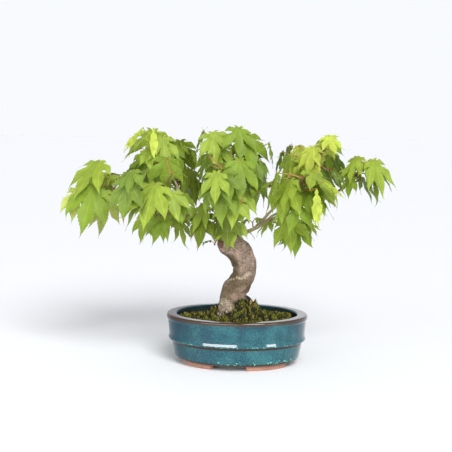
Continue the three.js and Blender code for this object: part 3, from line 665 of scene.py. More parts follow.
def glaze_material(settings):
    """Mottled glaze, thin and brown on the edges and beaded where it ran together, with painted shade on its
    left end and inside the rim.
    """
    shader = Shader("teal glaze", settings.glaze_deep_and_shade)
    z = shader.coordinate("Z")
    reach = shader.oval_reach()
    drift = shader.noise(30.0, 3.0)
    cloud = shader.noise(620.0, 7.0, 0.72)
    fine = shader.noise(1100.0, 4.0, 0.7)
    shader.layer(shader.span(cloud, 0.38, 0.60), settings.glaze)
    shader.layer(shader.span(fine, 0.54, 0.68, 0.0, 0.4), settings.glaze_light)
    shader.layer(shader.span(drift, 0.50, 0.70, 0.0, 0.25), settings.glaze_light)
    # Navy clouds, painted shade on the left end, and the inner wall, dark partly from its own glaze and
    # partly from painted shade
    navy = shader.times(shader.span(drift, 0.58, 0.40, 0.0, 0.7), shader.span(z, 0.026, 0.044, 0.4, 1.0))
    left = shader.span(shader.math("SUBTRACT", shader.coordinate("X"), POT_CENTRE[0]), -0.030, -0.056)
    inside = shader.times(shader.span(reach, 0.885, 0.875), shader.span(z, 0.0496, 0.0486, 0.0, 0.82))
    shader.layer(navy, settings.glaze_deep_and_shade)
    # Painted shade: the left end darkened towards the deep glaze
    shader.layer(shader.times(left, 0.6), settings.glaze_deep_and_shade)
    # Inner wall: its own dark glaze and painted shade inside the rim
    shader.layer(inside, settings.inner)
    # Specks low on the wall, and beads above the foot and above the step
    specks = shader.span(shader.cells(760.0), 0.30, 0.12)
    shader.layer(shader.times(specks, shader.span(z, 0.026, 0.012, 0.15, 0.75)), settings.glaze_light)
    beads = shader.span(shader.cells(420.0), 0.38, 0.16)
    above_foot = shader.times(shader.span(z, 0.0112, 0.0094), shader.span(drift, 0.44, 0.54, 0.0, 0.9))
    above_step = shader.times(shader.span(z, 0.0268, 0.0254), shader.span(z, 0.0240, 0.0249, 0.0, 0.55))
    for band in (above_foot, above_step):
        shader.layer(shader.times(beads, band), settings.glaze_pool)
    # Edges
    level = shader.math("MULTIPLY_ADD", fine, 0.0016, z)
    rim = shader.times(shader.span(level, 0.0471, 0.0481), shader.span(reach, 0.875, 0.89))
    step = shader.times(shader.span(level, 0.0224, 0.0232), shader.span(level, 0.0260, 0.0248))
    foot = shader.span(level, 0.0088, 0.0074)
    for edge, share in ((rim, 0.95), (step, 0.92), (foot, 0.9)):
        shader.layer(shader.times(edge, share), settings.edge)
    dull = shader.most(shader.times(step, 0.85), shader.times(inside, 0.75), shader.times(left, 0.85))
    shader.bump(shader.math("MULTIPLY_ADD", fine, 0.15, cloud), 0.07, 0.0005)
    return shader.made(
        Roughness=shader.span(cloud, 0.3, 0.7, settings.gloss, settings.gloss + 0.08), Specular_IOR_Level=0.1,
        Coat_Weight=shader.math("SUBTRACT", 1.0, dull), Coat_Roughness=0.05, Coat_IOR=1.45)


def clay_material(settings):
    """Rough clay with brown patches and pale grains."""
    shader = Shader("unglazed clay", settings.clay)
    grain = shader.noise(1400.0, 6.0, 0.7)
    shader.layer(shader.span(shader.noise(120.0, 4.0), 0.35, 0.7, 0.0, 0.6), CLAY_BROWN)
    shader.layer(shader.span(grain, 0.55, 0.75, 0.0, 0.5), CLAY_PALE)
    shader.bump(grain, 0.5, 0.0004)
    return shader.made(Roughness=0.85)


def soil_material(settings):
    """Damp soil with paler grains."""
    shader = Shader("damp soil", settings.soil)
    grain = shader.noise(700.0, 6.0, 0.7)
    shader.layer(shader.span(grain, 0.4, 0.7), SOIL_PALE)
    shader.bump(grain, 0.8, 0.0008)
    return shader.made(Roughness=0.95)


def moss_material(name, colour):
    """One colour with darker patches, for moss and crumbs."""
    shader = Shader(name, colour)
    shader.layer(shader.span(shader.noise(260.0, 4.0), 0.35, 0.65, 0.0, 0.6), shaded(colour, 0.55))
    return shader.made(Roughness=0.9)


def bark_material(settings):
    """Old bark, with painted shade on its hollow side, a green film low down, and the trunk's own marks."""
    shader = Shader("old bark", settings.bark)
    streak = shader.noise(520.0, 6.0, 0.62, (1.0, 1.0, 0.16))
    blotch = shader.noise(80.0, 4.0, 0.6)
    grain = shader.noise(1500.0, 5.0, 0.7, (1.0, 1.0, 0.4))
    wrinkle = shader.noise(640.0, 5.0, 0.6, (0.3, 0.3, 1.0))
    shader.layer(shader.span(blotch, 0.36, 0.66), settings.bark_warm)
    shader.layer(shader.span(streak, 0.52, 0.36, 0.0, 0.6), settings.bark_dark)
    shader.layer(shader.span(wrinkle, 0.49, 0.38, 0.0, 0.8), settings.bark_dark)
    shader.layer(shader.span(grain, 0.54, 0.68, 0.0, 0.7), settings.bark_pale)
    # Painted shade on the hollow side, then a green film low down
    hollow = shader.most(*(shader.near(place, 6.0, fade) for place, fade in HOLLOW_SHADE))
    low = shader.span(shader.coordinate("Z"), 0.102, 0.078)
    shader.layer(shader.times(hollow, shader.span(streak, 0.60, 0.42, 0.85, 1.0)), settings.film_and_shade)
    shader.layer(shader.times(low, shader.span(blotch, 0.66, 0.42, 0.62, 0.92)), settings.film_and_shade)
    # Knobs, ridge, wound and scars
    knobs = shader.span(shader.cells(420.0), 0.45, 0.16, 0.2, 0.7)
    shader.layer(shader.times(shader.near(KNOBBLY_ROOT, 8.0, 13.0), knobs), settings.bark_pale)
    ridge = shader.most(*(shader.near(place, width * 0.4, width * 1.5) for *place, width in CALLUS))
    shader.layer(shader.times(ridge, shader.span(grain, 0.44, 0.64, 0.12, 0.7)), settings.bark_pale)
    cut = shader.times(shader.near(WOUND, 3.6, 5.6), shader.span(grain, 0.4, 0.6, 0.6, 0.95))
    shader.layer(cut, settings.wound)
    for scar in SCARS:
        shader.layer(shader.times(shader.near(scar, 0.8, 2.0), 0.85), settings.bark_dark)
    shader.bump(shader.math("MULTIPLY_ADD", grain, 0.5, streak), 0.5, 0.0008)
    return shader.made(Roughness=0.8)


def young_bark_material(settings):
    """Smooth bark with brown patches and pale streaks."""
    shader = Shader("young bark", settings.young)
    streak = shader.noise(500.0, 4.0)
    shader.layer(shader.span(shader.noise(130.0, 3.0), 0.4, 0.65), YOUNG_BROWN)
    shader.layer(shader.span(streak, 0.56, 0.70, 0.0, 0.6), YOUNG_PALE)
    shader.bump(streak, 0.4, 0.0005)
    return shader.made(Roughness=0.7)


def leaf_material(name, colour, glow):
    """A blade's colour with a faint mottle, lit from both sides."""
    shader = Shader(name, shaded(colour, 0.88))
    shader.layer(shader.span(shader.noise(90.0, 4.0, 0.6), 0.34, 0.66), shaded(colour, 1.12))
    shader.bump(shader.noise(900.0, 3.0), 0.25, 0.0003)
    material = shader.made(Roughness=0.5, Specular_IOR_Level=0.28)
    through = shader.node("BsdfTranslucent", shader.colour)
    blend = shader.node("MixShader", glow, shader.surface.outputs["BSDF"], through)
    shader.links.new(blend, shader.nodes["Material Output"].inputs["Surface"])
    return material


def stalk_material(name, colour, other):
    """A stalk's or shoot's colour with patches of another."""
    shader = Shader(name, colour)
    shader.layer(shader.span(shader.noise(220.0, 3.0), 0.35, 0.65), other)
    return shader.made(Roughness=0.5)


def floor_material(settings):
    """An almost even pale floor."""
    shader = Shader("studio floor", settings.floor)
    shader.layer(shader.noise(3.0, 2.0), shaded(settings.floor, 0.985))
    return shader.made(Roughness=0.9, Specular_IOR_Level=0.1)


# Pot and ground

def oval(reach, angle, level):
    """Points round the pot's oval; reach is measured along its length."""
    return np.stack([
        reach * np.cos(angle), reach * np.sin(angle) * POT_WIDTH / POT_LENGTH,
        np.broadcast_to(level, np.shape(angle))], axis=-1)


def rounded(profile, radius, steps=4):
    """A profile with each corner turned into a short arc, its ends kept."""
    points = [np.array(p, dtype=float) for p in profile]
    result = [points[0]]
    for before, corner, after in zip(points, points[1:], points[2:]):
        reach = min(radius, np.linalg.norm(before - corner) * 0.45, np.linalg.norm(after - corner) * 0.45)
        start = corner + unit(before - corner) * reach
        end = corner + unit(after - corner) * reach
        for share in np.linspace(0, 1, steps + 1):
            result.append(start * (1 - share) ** 2 + corner * 2 * share * (1 - share) + end * share ** 2)
    result.append(points[-1])
    return result


def pot_profile():
    """The wall's section, from under the floor out, up over the rim and down inside."""
    outer, inner = POT_LENGTH / 2, RIM_OPENING / 2
    below = [(-12.2, 0.0), (-9.6, 0.9), (-8.2, 3.2)]
    step = [(-5.2, -1.4), (-4.6, -0.4), (-2.5, 0.4), (-1.8, 1.5), (-2.06, 2.6), (-2.32, 3.7), (-2.58, 4.8),
            (-2.72, 6.2), (-2.5, 8.5)]
    rim = [(-1.3, -5.4), (-0.2, -4.2), (0.0, -2.6), (-0.2, -0.9), (-1.2, 0.0)]
    return [
        (1.0, FOOT_HEIGHT),
        *((outer + out, FOOT_HEIGHT + up) for out, up in below),
        *((outer + out, STEP_HEIGHT + up) for out, up in step),
        *((outer + out, POT_HEIGHT + up) for out, up in rim),
        *((inner + out, POT_HEIGHT + up) for out, up in ((1.0, 0.0), (0.0, -0.9), (0.4, -4.0))),
        (inner + 1.2, SOIL_TOP - 4.0),
        *((inner + out, FLOOR_TOP + up) for out, up in ((-2.5, 8.0), (-6.0, 1.5), (-9.0, 0.0))),
        (1.0, FLOOR_TOP),
    ]


def build_pot(settings):
    """The pot, turned from its section with a slightly uneven wall, and its two drain holes."""
    angle = circle(POT_SEGMENTS)
    hand_made = 1 + 0.0016 * np.sin(angle * 3) + 0.0006 * np.sin(angle * 7 + 1)
    rings = [oval(reach * hand_made, angle, level) for reach, level in rounded(pot_profile(), POT_ROUNDING)]
    faces = ring_faces(len(rings), POT_SEGMENTS)
    pot = mesh_piece("pot_glazed", np.concatenate(rings), faces, [glaze_material(settings)])
    for side in (-1, 1):
        drill(pot, (side * DRAIN_OFFSET, 0.0, FLOOR_TOP - 2.5), DRAIN_DIAMETER / 2, FLOOR_TOP)
    finish_piece(pot, "glaze", "pot")


def drill(piece, centre, radius, depth):
    """Cuts one round upright hole."""
    path = np.array(centre) + np.outer([-0.5, 0.5], UP * depth)
    points, faces = tube(path, radius, 48)
    cutter = mesh_piece("drill", points, faces, [])
    cut = piece.modifiers.new("drain", "BOOLEAN")
    cut.operation = "DIFFERENCE"
    cut.object = cutter
    apply_modifiers(piece)
    bpy.data.objects.remove(cutter)


def foot_rings(side_x, side_y):
    """Corners of a foot's section at places along its arc, drawn in towards its ends."""
    section = [(0.0, FOOT_HEIGHT), (0.6, 0.9), (1.6, 0.0), (FOOT_BAND - 1.6, 0.0), (FOOT_BAND - 0.6, 0.9),
               (FOOT_BAND, FOOT_HEIGHT)]
    rings = []
    for share in FOOT_SHARES:
        angle = math.radians(mix(FOOT_START, FOOT_END, share))
        pinch = FOOT_PINCH * max(0.0, 1 - min(share, 1 - share) / FOOT_SOFT_END) ** 2
        for inset, level in section:
            inset += pinch if inset < FOOT_BAND / 2 else -pinch
            level += pinch if level < 1 else 0.0
            rings.append((
                side_x * (FOOT_OUTER_LENGTH / 2 - inset) * math.cos(angle),
                side_y * (FOOT_OUTER_WIDTH / 2 - inset) * math.sin(angle), level))
    return rings, len(section)


def build_feet(settings):
    """Four low curved feet at the pot's corners."""
    clay = clay_material(settings)
    for place, side_x, side_y in (
            ("front_right", 1, -1), ("front_left", -1, -1), ("back_right", 1, 1), ("back_left", -1, 1)):
        rings, corners = foot_rings(side_x, side_y)
        faces = ring_faces(len(FOOT_SHARES), corners)
        if side_x * side_y < 0:
            faces = [face[::-1] for face in faces]
        finish_piece(mesh_piece(f"clay_foot_{place}", rings, faces, [clay]), "unglazed_clay", f"foot_{place}")


def moss_place(share, angle, height=0.0):
    """A point on the moss from its share of the way out to the edge; the height may be an array."""
    reach = 1.0 - sum(depth * np.sin(angle * count + shift) for count, shift, depth in MOSS_WAVES)
    for way, width, bare in BARE_PATCHES:
        reach = reach - bare * np.exp(-((angle - math.radians(way)) / math.radians(width)) ** 2)
    return oval(MOSS_REACH * reach * share, angle, height)


def moss_mound(share):
    """Share of the mound's height, at a share of the way out to the edge."""
    return np.exp(-(share / MOSS_SPREAD) ** MOSS_STEEPNESS)


def moss_height(share, angle):
    """Height of the moss: the mound at the trunk's foot, lumps, cushions and the edge that curls down."""
    lumps = 0.9 * np.sin(angle * 4 + share * 7.5) * np.sin(share * 9)
    small = 0.7 * np.sin(angle * 13 + share * 20) * np.sin(share * 24 + 1) * (1 - share)
    edge = smoothstep(share, 1.0, 0.9) * 1.1 - 1.1
    place = moss_place(share, angle)
    for east, north, height, radius in CUSHIONS:
        away = (place[..., 0] - east) ** 2 + (place[..., 1] - north) ** 2
        small = small + height * np.exp(-away / radius ** 2)
    return MOSS_EDGE + (MOSS_CREST - MOSS_EDGE) * moss_mound(share) + lumps + small + edge


def moss_carpet(segments=128, rows=30):
    """The closed skin under the strands."""
    angle = circle(segments)
    points = [moss_place(0.97, angle, SOIL_TOP)]
    for share in np.linspace(1.0, MOSS_HEART, rows):
        points.append(moss_place(share, angle, moss_height(share, angle)))
    return np.concatenate(points), ring_faces(len(points), segments)


def moss_strands(foot, lean, tall, draw, sheaf, kind):
    """Adds one sprig: three bent strands from one foot."""
    for _ in range(3):
        out = direction(draw.uniform(0, 2 * math.pi))
        side = np.array([-out[1], out[0], 0.0]) * STRAND_HALF_WIDTH
        tip = foot + (UP + lean) * tall * draw.uniform(0.7, 1.2) + out * draw.uniform(0.2, 1.0)
        middle = foot + (UP + lean) * tall * 0.55 + out * 0.25
        points = [foot - side, foot + side, middle + side * 0.9, tip, middle - side * 0.9]
        sheaf.add(points, [(0, 1, 2, 4), (4, 2, 3)], kind)


def build_moss(settings):
    """The moss: its kinds of sprig lie in patches, with taller and drier ones on the mound, and near-black
    ones as painted shade mostly where the tufts are low.
    """
    draw = np.random.default_rng(MOSS_SEED)
    shades = [moss_material(f"{name} moss", getattr(settings, f"moss_{name}")) for name in MOSS_KINDS]
    sheaf = Sheaf()
    sheaf.add(*moss_carpet())
    turn = draw.uniform(0, 2 * math.pi, settings.sprigs)
    share = draw.uniform(0.22, 1.0, settings.sprigs) ** 0.75 * 0.99
    feet = moss_place(share, turn, moss_height(share, turn) - 0.3)
    east, north = feet[:, 0], feet[:, 1]
    clump = np.sin(east * 0.7 + north * 0.3) + np.sin(north * 0.9 - east * 0.4)
    fine = np.sin(east * 2.0 - north * 1.1 + clump) * np.sin(north * 1.9 + east * 0.8)
    tuft = np.clip(clump * 0.5 + fine * 0.5, -1.0, 1.0)
    clump = clump * 0.6 + fine * 0.5 + draw.normal(0, 1.0, settings.sprigs)
    mound = moss_mound(share)
    for k, foot in enumerate(feet):
        # The dark kind falls mostly where the tufts are low, as painted shade in the hollows
        kind = int(np.searchsorted((-0.3, 0.5 + 0.5 * mound[k], 2.4 - 1.3 * mound[k]), clump[k]))
        tall = draw.uniform(*SPRIG_HEIGHT) * (1 + 0.35 * tuft[k]) + draw.uniform(*MOUND_GROWTH) * mound[k]
        moss_strands(foot, direction(turn[k]) * draw.uniform(0.0, 0.5), tall, draw, sheaf, kind)
    finish_piece(sheaf.piece("moss_sprigs", shades), "moss", "moss")


def pebble(draw, centre, size):
    """A small rough lump from a squashed, dented octahedron."""
    corners = np.concatenate([[way, -way] for way in np.eye(3)])
    corners = corners * draw.uniform(0.6, 1.1, (6, 1)) * size
    spin = np.array(Matrix.Rotation(draw.uniform(0, 6.28), 3, Vector(draw.normal(size=3)).normalized()))
    faces = [(0, 2, 4), (2, 1, 4), (1, 3, 4), (3, 0, 4), (2, 0, 5), (1, 2, 5), (3, 1, 5), (0, 3, 5)]
    return corners @ spin.T + centre, faces


def build_soil(settings):
    """The soil's body inside the pot, with loose crumbs on top."""
    draw = np.random.default_rng(SOIL_SEED)
    shades = [soil_material(settings), moss_material("soil crumbs", CRUMB_BROWN)]
    sheaf = Sheaf()
    inner = RIM_OPENING / 2
    angle = circle(SOIL_SEGMENTS)
    profile = [(0.5, FLOOR_TOP + CLEAR), (inner - 9.4, FLOOR_TOP + CLEAR), (inner - 6.5, FLOOR_TOP + 1.9),
               (inner - 3.0, FLOOR_TOP + 8.2), (inner + 0.6, SOIL_TOP - 4.0), (inner + 0.2, SOIL_TOP - 0.6)]
    rings = [oval(reach, angle, level) for reach, level in profile]
    for reach in np.linspace(inner - 1.5, 0.5, 22):
        ring = oval(reach, angle, SOIL_TOP)
        ring[:, 2] += [0.45 * noise.noise(Vector(p) * 0.35) - 0.3 for p in ring]
        rings.append(ring)
    sheaf.add(np.concatenate(rings), ring_faces(len(rings), SOIL_SEGMENTS))
    for _ in range(GRAINS):
        turn = draw.uniform(0, 2 * math.pi)
        reach = math.sqrt(draw.uniform(0.35, 1.0)) * (inner - 1.6)
        lump = pebble(draw, oval(reach, turn, SOIL_TOP), draw.uniform(*GRAIN_SIZE))
        sheaf.add(*lump, int(draw.uniform() < PALE_GRAINS))
    finish_piece(sheaf.piece("potting_soil", shades, smooth=False), "soil", "soil")


# Limbs

def catmull(nodes, t):
    """Uniform Catmull-Rom through the nodes, t from 0 to 1."""
    last = len(nodes) - 1
    i = min(int(t * last), last - 1)
    w = t * last - i
    p1, p2 = nodes[i], nodes[i + 1]
    p0 = nodes[i - 1] if i > 0 else p1 * 2 - p2
    p3 = nodes[i + 2] if i + 2 <= last else p2 * 2 - p1
    return hermite(p1, p2, (p2 - p0) * 0.5, (p3 - p1) * 0.5, w)


def hermite(p1, p2, t0, t1, w):
    """A curve from one point to the next by its way at both ends."""
    return p1 + t0 * w + (p2 * 3 - p1 * 3 - t0 * 2 - t1) * w * w + (p1 * 2 - p2 * 2 + t0 + t1) * w ** 3


def bend(a, tip, arch):
    """A centre line from foot to tip in one arch."""
    knee = (a + tip) / 2 + UP * arch * 2
    return lambda t: a * (1 - t) ** 2 + knee * (2 * t * (1 - t)) + tip * t ** 2


def trunk_radius(t):
    """The trunk's radius at a share of its length."""
    return float(np.interp(t * (len(TRUNK_RADII) - 1), range(len(TRUNK_RADII)), TRUNK_RADII))


def limb_curves():
    """Each limb's centre line and radius, as functions of the share of its length."""
    curves = {"trunk": (lambda t: catmull(TRUNK_AXIS, t), trunk_radius)}
    for name, (parent, place, tip, arch, root_radius, tip_radius) in LIMBS.items():
        at = bend(curves[parent][0](place), np.array(tip, dtype=float), arch)
        curves[name] = (at, lambda t, a=root_radius, b=tip_radius: mix(a, b, t))
    return curves


def trunk_reach(angle, t, level, radius):
    """Distance from the trunk's centre line to its bark, with roots, waves and knots."""
    flare = max(0.0, (ROOT_TOP - level) / (ROOT_TOP - SOIL_TOP)) ** ROOT_FADE
    roots = sum(share * np.cos((angle - math.radians(way)) * count) for count, way, share in ROOTS)
    reach = radius * (1 + ROOT_SPREAD * flare * roots)
    for count, twist, share in TRUNK_WAVES:
        reach = reach * (1 + share * np.sin(angle * count + t * twist))
    for place, way, width, length, height in KNOTS:
        apart = np.abs(angle - math.radians(way))
        apart = np.minimum(apart, math.pi * 2 - apart)
        reach = reach + height * np.exp(-(apart / math.radians(width)) ** 2 - ((t - place) / length) ** 2)
    past = max(0.0, (t - TRUNK_SOFT_TOP) / (TRUNK_END - TRUNK_SOFT_TOP))
    return np.maximum(reach * math.sqrt(1 - past ** 2), 0.05)


def trunk_mesh(curve, rings, segments):
    """Rings round the trunk that are level at the soil and square to its centre line higher up."""
    at, radius = curve
    angle = circle(segments)
    points = []
    for t in np.arange(rings + 1) / rings:
        centre = at(t)
        way = unit(at(min(1.0, t + 0.01)) - at(max(0.0, t - 0.01)))
        way = unit(mix(UP, way, smoothstep(centre[2], SOIL_TOP, SOIL_TOP + LEVEL_HEIGHT)))
        depth = np.array([0.0, 1.0, 0.0])
        depth = unit(depth - way * (way @ depth))
        side = np.cross(depth, way)
        reach = trunk_reach(angle, t, centre[2], radius(t))
        points.append(centre + np.outer(np.cos(angle) * reach, side) + np.outer(np.sin(angle) * reach, depth))
    return np.concatenate(points), ring_faces(rings + 1, segments)


def bough_mesh(curve, draw, slimness):
    """A bough with a flared collar, joints along it and a slightly wandering line."""
    at, radius = curve
    length = np.linalg.norm(at(1.0) - at(0.0))
    steps = max(10, int(length / BOUGH_STEP))
    joints = max(2, int(length / JOINT_SPACING))
    wander = draw.uniform(-1, 1, (joints + 2, 3)) * min(0.9, radius(0.5) * 0.45)
    wander[0] = wander[-1] = 0
    path, radii = [], []
    for t in np.arange(steps + 1) / steps:
        place = t * (joints + 1)
        i = min(int(place), joints)
        path.append(at(t) + mix(wander[i], wander[i + 1], smoothstep(place - i, 0.0, 1.0)))
        joint = math.exp(-((place - round(place)) / 0.16) ** 2) if 0 < round(place) <= joints else 0.0
        collar = COLLAR_FLARE * math.exp(-t * length / COLLAR_LENGTH)
        radii.append(radius(t) * slimness * (1 + collar + JOINT_SWELL * joint))
    return tube(path, radii, 16)


def build_wood(settings):
    """Trunk and boughs in one skin, softened where they meet, with the bark's relief."""
    curves = limb_curves()
    draw = np.random.default_rng(WOOD_SEED)
    sheaf = Sheaf()
    sheaf.add(*trunk_mesh(curves["trunk"], 200, 96))
    for name in LIMBS:
        sheaf.add(*bough_mesh(curves[name], draw, 1.0 if name in OLD_WOOD else YOUNG_WOOD_SLIMNESS))
    sheaf.add(*tube(STUB_PATH, STUB_RADII, 12))
    shades = [bark_material(settings), young_bark_material(settings)]
    wood = sheaf.piece("trunk_and_boughs", shades, turn=TREE_TURN)
    remesh = wood.modifiers.new("one skin", "REMESH")
    remesh.mode = "VOXEL"
    remesh.voxel_size = VOXEL * MM
    soften = wood.modifiers.new("soften", "SMOOTH")
    soften.factor = 0.5
    soften.iterations = 3
    apply_modifiers(wood)
    carve_bark(wood.data, curves, settings.relief)
    finish_piece(wood, "bark", "trunk", *LIMBS)


def vertex_values(mesh, name):
    """Places or normals of a mesh's points, a row for each."""
    values = np.empty(len(mesh.vertices) * 3)
    mesh.vertices.foreach_get(name, values)
    return values.reshape(-1, 3)


def on_old_wood(points, curves):
    """Whether the limb nearest to each point has old bark."""
    nearest = np.full(len(points), np.inf)
    old = np.zeros(len(points), dtype=bool)
    for name, (at, radius) in curves.items():
        for t in np.linspace(0, 1, 60):
            away = np.linalg.norm(points - at(t), axis=1) - radius(t)
            closer = away < nearest
            nearest[closer] = away[closer]
            old[closer] = name in OLD_WOOD
    return old


def bark_relief(point, old, relief):
    """Height of the bark at a point: ridges, lumps and pits on old wood, fine lumps on young wood."""
    x, y, z = point
    if not old:
        return YOUNG_RELIEF * noise.noise(Vector((x * 0.7, y * 0.7, z * 0.7)))
    ridge = noise.noise(Vector((x * 0.5, y * 0.5, z * 0.08)))
    lump = noise.noise(Vector((x * 0.16, y * 0.16, z * 0.14)) + Vector((7.0, 3.0, 1.0)))
    pit = noise.noise(Vector((x * 0.9, y * 0.9, z * 0.5)))
    return relief * (ridge * 1.1 + lump * 1.3 - max(0.0, pit - 0.25) * 1.2)


def marks_relief(points):
    """Height of the trunk's own marks: knobs, rolled lips round the wound and scars, and the ridge."""
    def away(place):
        return np.linalg.norm(points - place, axis=1)
    shift = np.zeros(len(points))
    knobs = smoothstep(away(KNOBBLY_ROOT), 14.0, 8.0)
    for k in np.flatnonzero(knobs > 0):
        shift[k] = knobs[k] * 1.6 * (0.5 - noise.voronoi(Vector(points[k] * 0.33))[0][0])
    shift += 0.9 * np.exp(-((away(WOUND) - 5.2) / 1.1) ** 2) - 0.7 * smoothstep(away(WOUND), 4.6, 2.6)
    for scar in SCARS:
        shift += 0.5 * np.exp(-((away(scar) - 2.2) / 0.8) ** 2) - 0.7 * smoothstep(away(scar), 1.8, 0.6)
    for *place, width in CALLUS:
        shift += 0.3 * np.exp(-(away(place) / width) ** 2)
    return shift


def carve_bark(mesh, curves, relief):
    """Pushes the skin out and in along its normals, and gives thin boughs the young bark."""
    points = turned((vertex_values(mesh, "co") - POT_CENTRE) / MM, -TREE_TURN)
    normals = turned(vertex_values(mesh, "normal"), -TREE_TURN)
    old = on_old_wood(points, curves)
    shift = np.array([bark_relief(point, aged, relief) for point, aged in zip(points, old)])
    shift += marks_relief(points)
    shift[points[:, 2] < SOIL_TOP + 0.5] = 0.0
    mesh.vertices.foreach_set("co", metres(turned(points + normals * shift[:, None])).ravel())
    corner = np.empty(len(mesh.loops), dtype=np.int32)
    mesh.loops.foreach_get("vertex_index", corner)
    first = np.empty(len(mesh.polygons), dtype=np.int32)
    mesh.polygons.foreach_get("loop_start", first)
    mesh.polygons.foreach_set("material_index", (~old[corner[first]]).astype(np.int32))
    mesh.polygons.foreach_set("use_smooth", [True] * len(mesh.polygons))
    mesh.update()


# Growth rule

def seeded(seed):
    """The rule's own run of draws from 0 to 1."""
    state = seed

    def draw():
        nonlocal state
        state = (state * DRAW_FACTOR + DRAW_STEP) % DRAW_RANGE
        return state / DRAW_RANGE
    for _ in range(4):
        draw()
    return draw


def stem_of(name, curves):
    """Centre line and radius of a mass's stem, from its bough's tip up into the crown."""
    bough, heart, reach = MASSES[name][:3]
    at, radius = curves[bough]
    crown = np.array(heart, dtype=float) + UP * reach[2] * CROWN_LIFT
    tip = at(1.0)
    start = tip + unit(crown - tip) * (radius(1.0) + CLEAR)
    return bend(start, crown, STEM_ARCH / 2), lambda t: STEM_RADIUS


def samples_of(curve):
    """Points along a limb with its radius at each."""
    at, radius = curve
    n = max(2, math.ceil(np.linalg.norm(at(1.0) - at(0.0)) / SAMPLE_SPACING))
    return np.array([[*at(k / n), radius(k / n)] for k in range(n + 1)])


def leaf_shape(root, heading, petiole, rise, dip, roll, length, droop, lobes=LOBES):
    """A leaf's stalk, base and the spines of its lobes, which turn from their own way towards the ground."""
    out = direction(heading)
    base = root + (out * math.cos(rise) + UP * math.sin(rise)) * petiole
    axis = out * math.cos(dip) + DOWN * math.sin(dip)
    normal = out * math.sin(dip) + UP * math.cos(dip)
    side = np.cross(axis, normal) * math.cos(roll) + normal * math.sin(roll)
    angle = np.radians([lobe[0] for lobe in lobes])[:, None]
    share = np.array([lobe[1] for lobe in lobes])[:, None]
    way = axis * np.cos(angle) + side * np.sin(angle)
    across = side * np.cos(angle) - axis * np.sin(angle)
    place = np.repeat(base[None], len(lobes), 0)
    spine, sides, ways = [place], [across], [way]
    for k in range(SPINE_STEPS):
        weight = droop * (k + 0.5) / SPINE_STEPS
        step = unit(way * (1 - weight) + DOWN * weight)
        place = place + step * (length * share / SPINE_STEPS)
        spine.append(place)
        sides.append(unit(across - step * (across * step).sum(1, keepdims=True)))
        ways.append(step)
    return {
        "root": root, "base": base, "axis": axis, "spine": np.array(spine), "sides": np.array(sides),
        "ways": np.array(ways), "half_widths": length * share * LOBE_HALF_WIDTH,
        "stance": (root, heading, petiole, rise, dip, roll, length, droop),
    }


def leaf_samples(leaf):
    """Points that stand for a leaf: along its stalk, along its spines and on its lobes' edges."""
    spine, sides, half = leaf["spine"], leaf["sides"], leaf["half_widths"]
    root, base = leaf["root"], leaf["base"]
    points = [base[None], ((root + base * 2) / 3)[None], ((root * 2 + base) / 3)[None]]
    points += [spine[k] for k in range(1, SPINE_STEPS + 1)]
    for k, share in LOBE_SIDES:
        points += [spine[k] + sides[k] * half * share, spine[k] - sides[k] * half * share]
    return np.concatenate(points)


def space_of(name):
    """A test of whether points lie in a mass's own space: its ellipsoid, cut off towards its neighbours."""
    heart, reach = (np.array(values, dtype=float) for values in MASSES[name][1:3])
    ways, offs = [], []
    for other, (_, other_heart, other_reach, *_) in MASSES.items():
        if other != name:
            between = np.array(other_heart, dtype=float) - heart
            far = math.sqrt(float(between @ between))
            ways.append(between / far)
            offs.append(far * sum(reach) / (sum(reach) + sum(other_reach)) - MASS_GAP / 2)
    ways, offs = np.array(ways).T, np.array(offs)

    def inside(points):
        away = points - heart
        return bool(((away / reach) ** 2).sum(1).max() <= 1 and (away @ ways <= offs).all())
    return inside


def is_clear(points, samples, gap):
    """Whether all points keep a gap to samples, which have a radius in their last column."""
    away = points[:, None, :] - samples[None, :, :3]
    return bool((np.sqrt((away * away).sum(2)) - samples[:, 3] >= gap).all())


class Room:
    """The space of one mass, with the wood that passes through it and what has grown there."""

    def __init__(self, name, curves):
        self.inside = space_of(name)
        _, heart, reach, *_ = MASSES[name]
        others = [stem_of(other, curves) for other in MASSES if other != name]
        blocks = np.concatenate([samples_of(curve) for curve in (*curves.values(), *others)])
        away = np.linalg.norm(blocks[:, :3] - heart, axis=1) - blocks[:, 3]
        self.blocks = blocks[away < max(reach) + LEAF_GAP]
        self.taken = samples_of(stem_of(name, curves))

    def take(self, points, block_gap, gap):
        """Takes up points if they fit, with a gap to the wood and another to what has grown."""
        fits = (self.inside(points) and is_clear(points, self.blocks, block_gap)
                and is_clear(points, self.taken, gap))
        if fits:
            self.taken = np.concatenate([self.taken, np.column_stack([points, np.zeros(len(points))])])
        return fits


def grow_leaf(root, turn, room, draw):
    """The first leaf that fits, out of many tries that grow shorter."""
    for attempt in range(TRIES):
        heading = turn + math.radians(mix(-HEADING_SWAY, HEADING_SWAY, draw()))
        petiole = mix(*PETIOLE_LENGTH, draw())
        rise, dip, roll = (math.radians(mix(*bounds, draw())) for bounds in (LEAF_RISE, LEAF_DIP, LEAF_ROLL))
        length = mix(*LEAF_LENGTH, draw()) * (1 - SHRINK * attempt)
        leaf = leaf_shape(root, heading, petiole, rise, dip, roll, length, mix(*LEAF_DROOP, draw()))
        if room.take(leaf_samples(leaf), LIMB_GAP, LEAF_GAP):
            return leaf
    return None


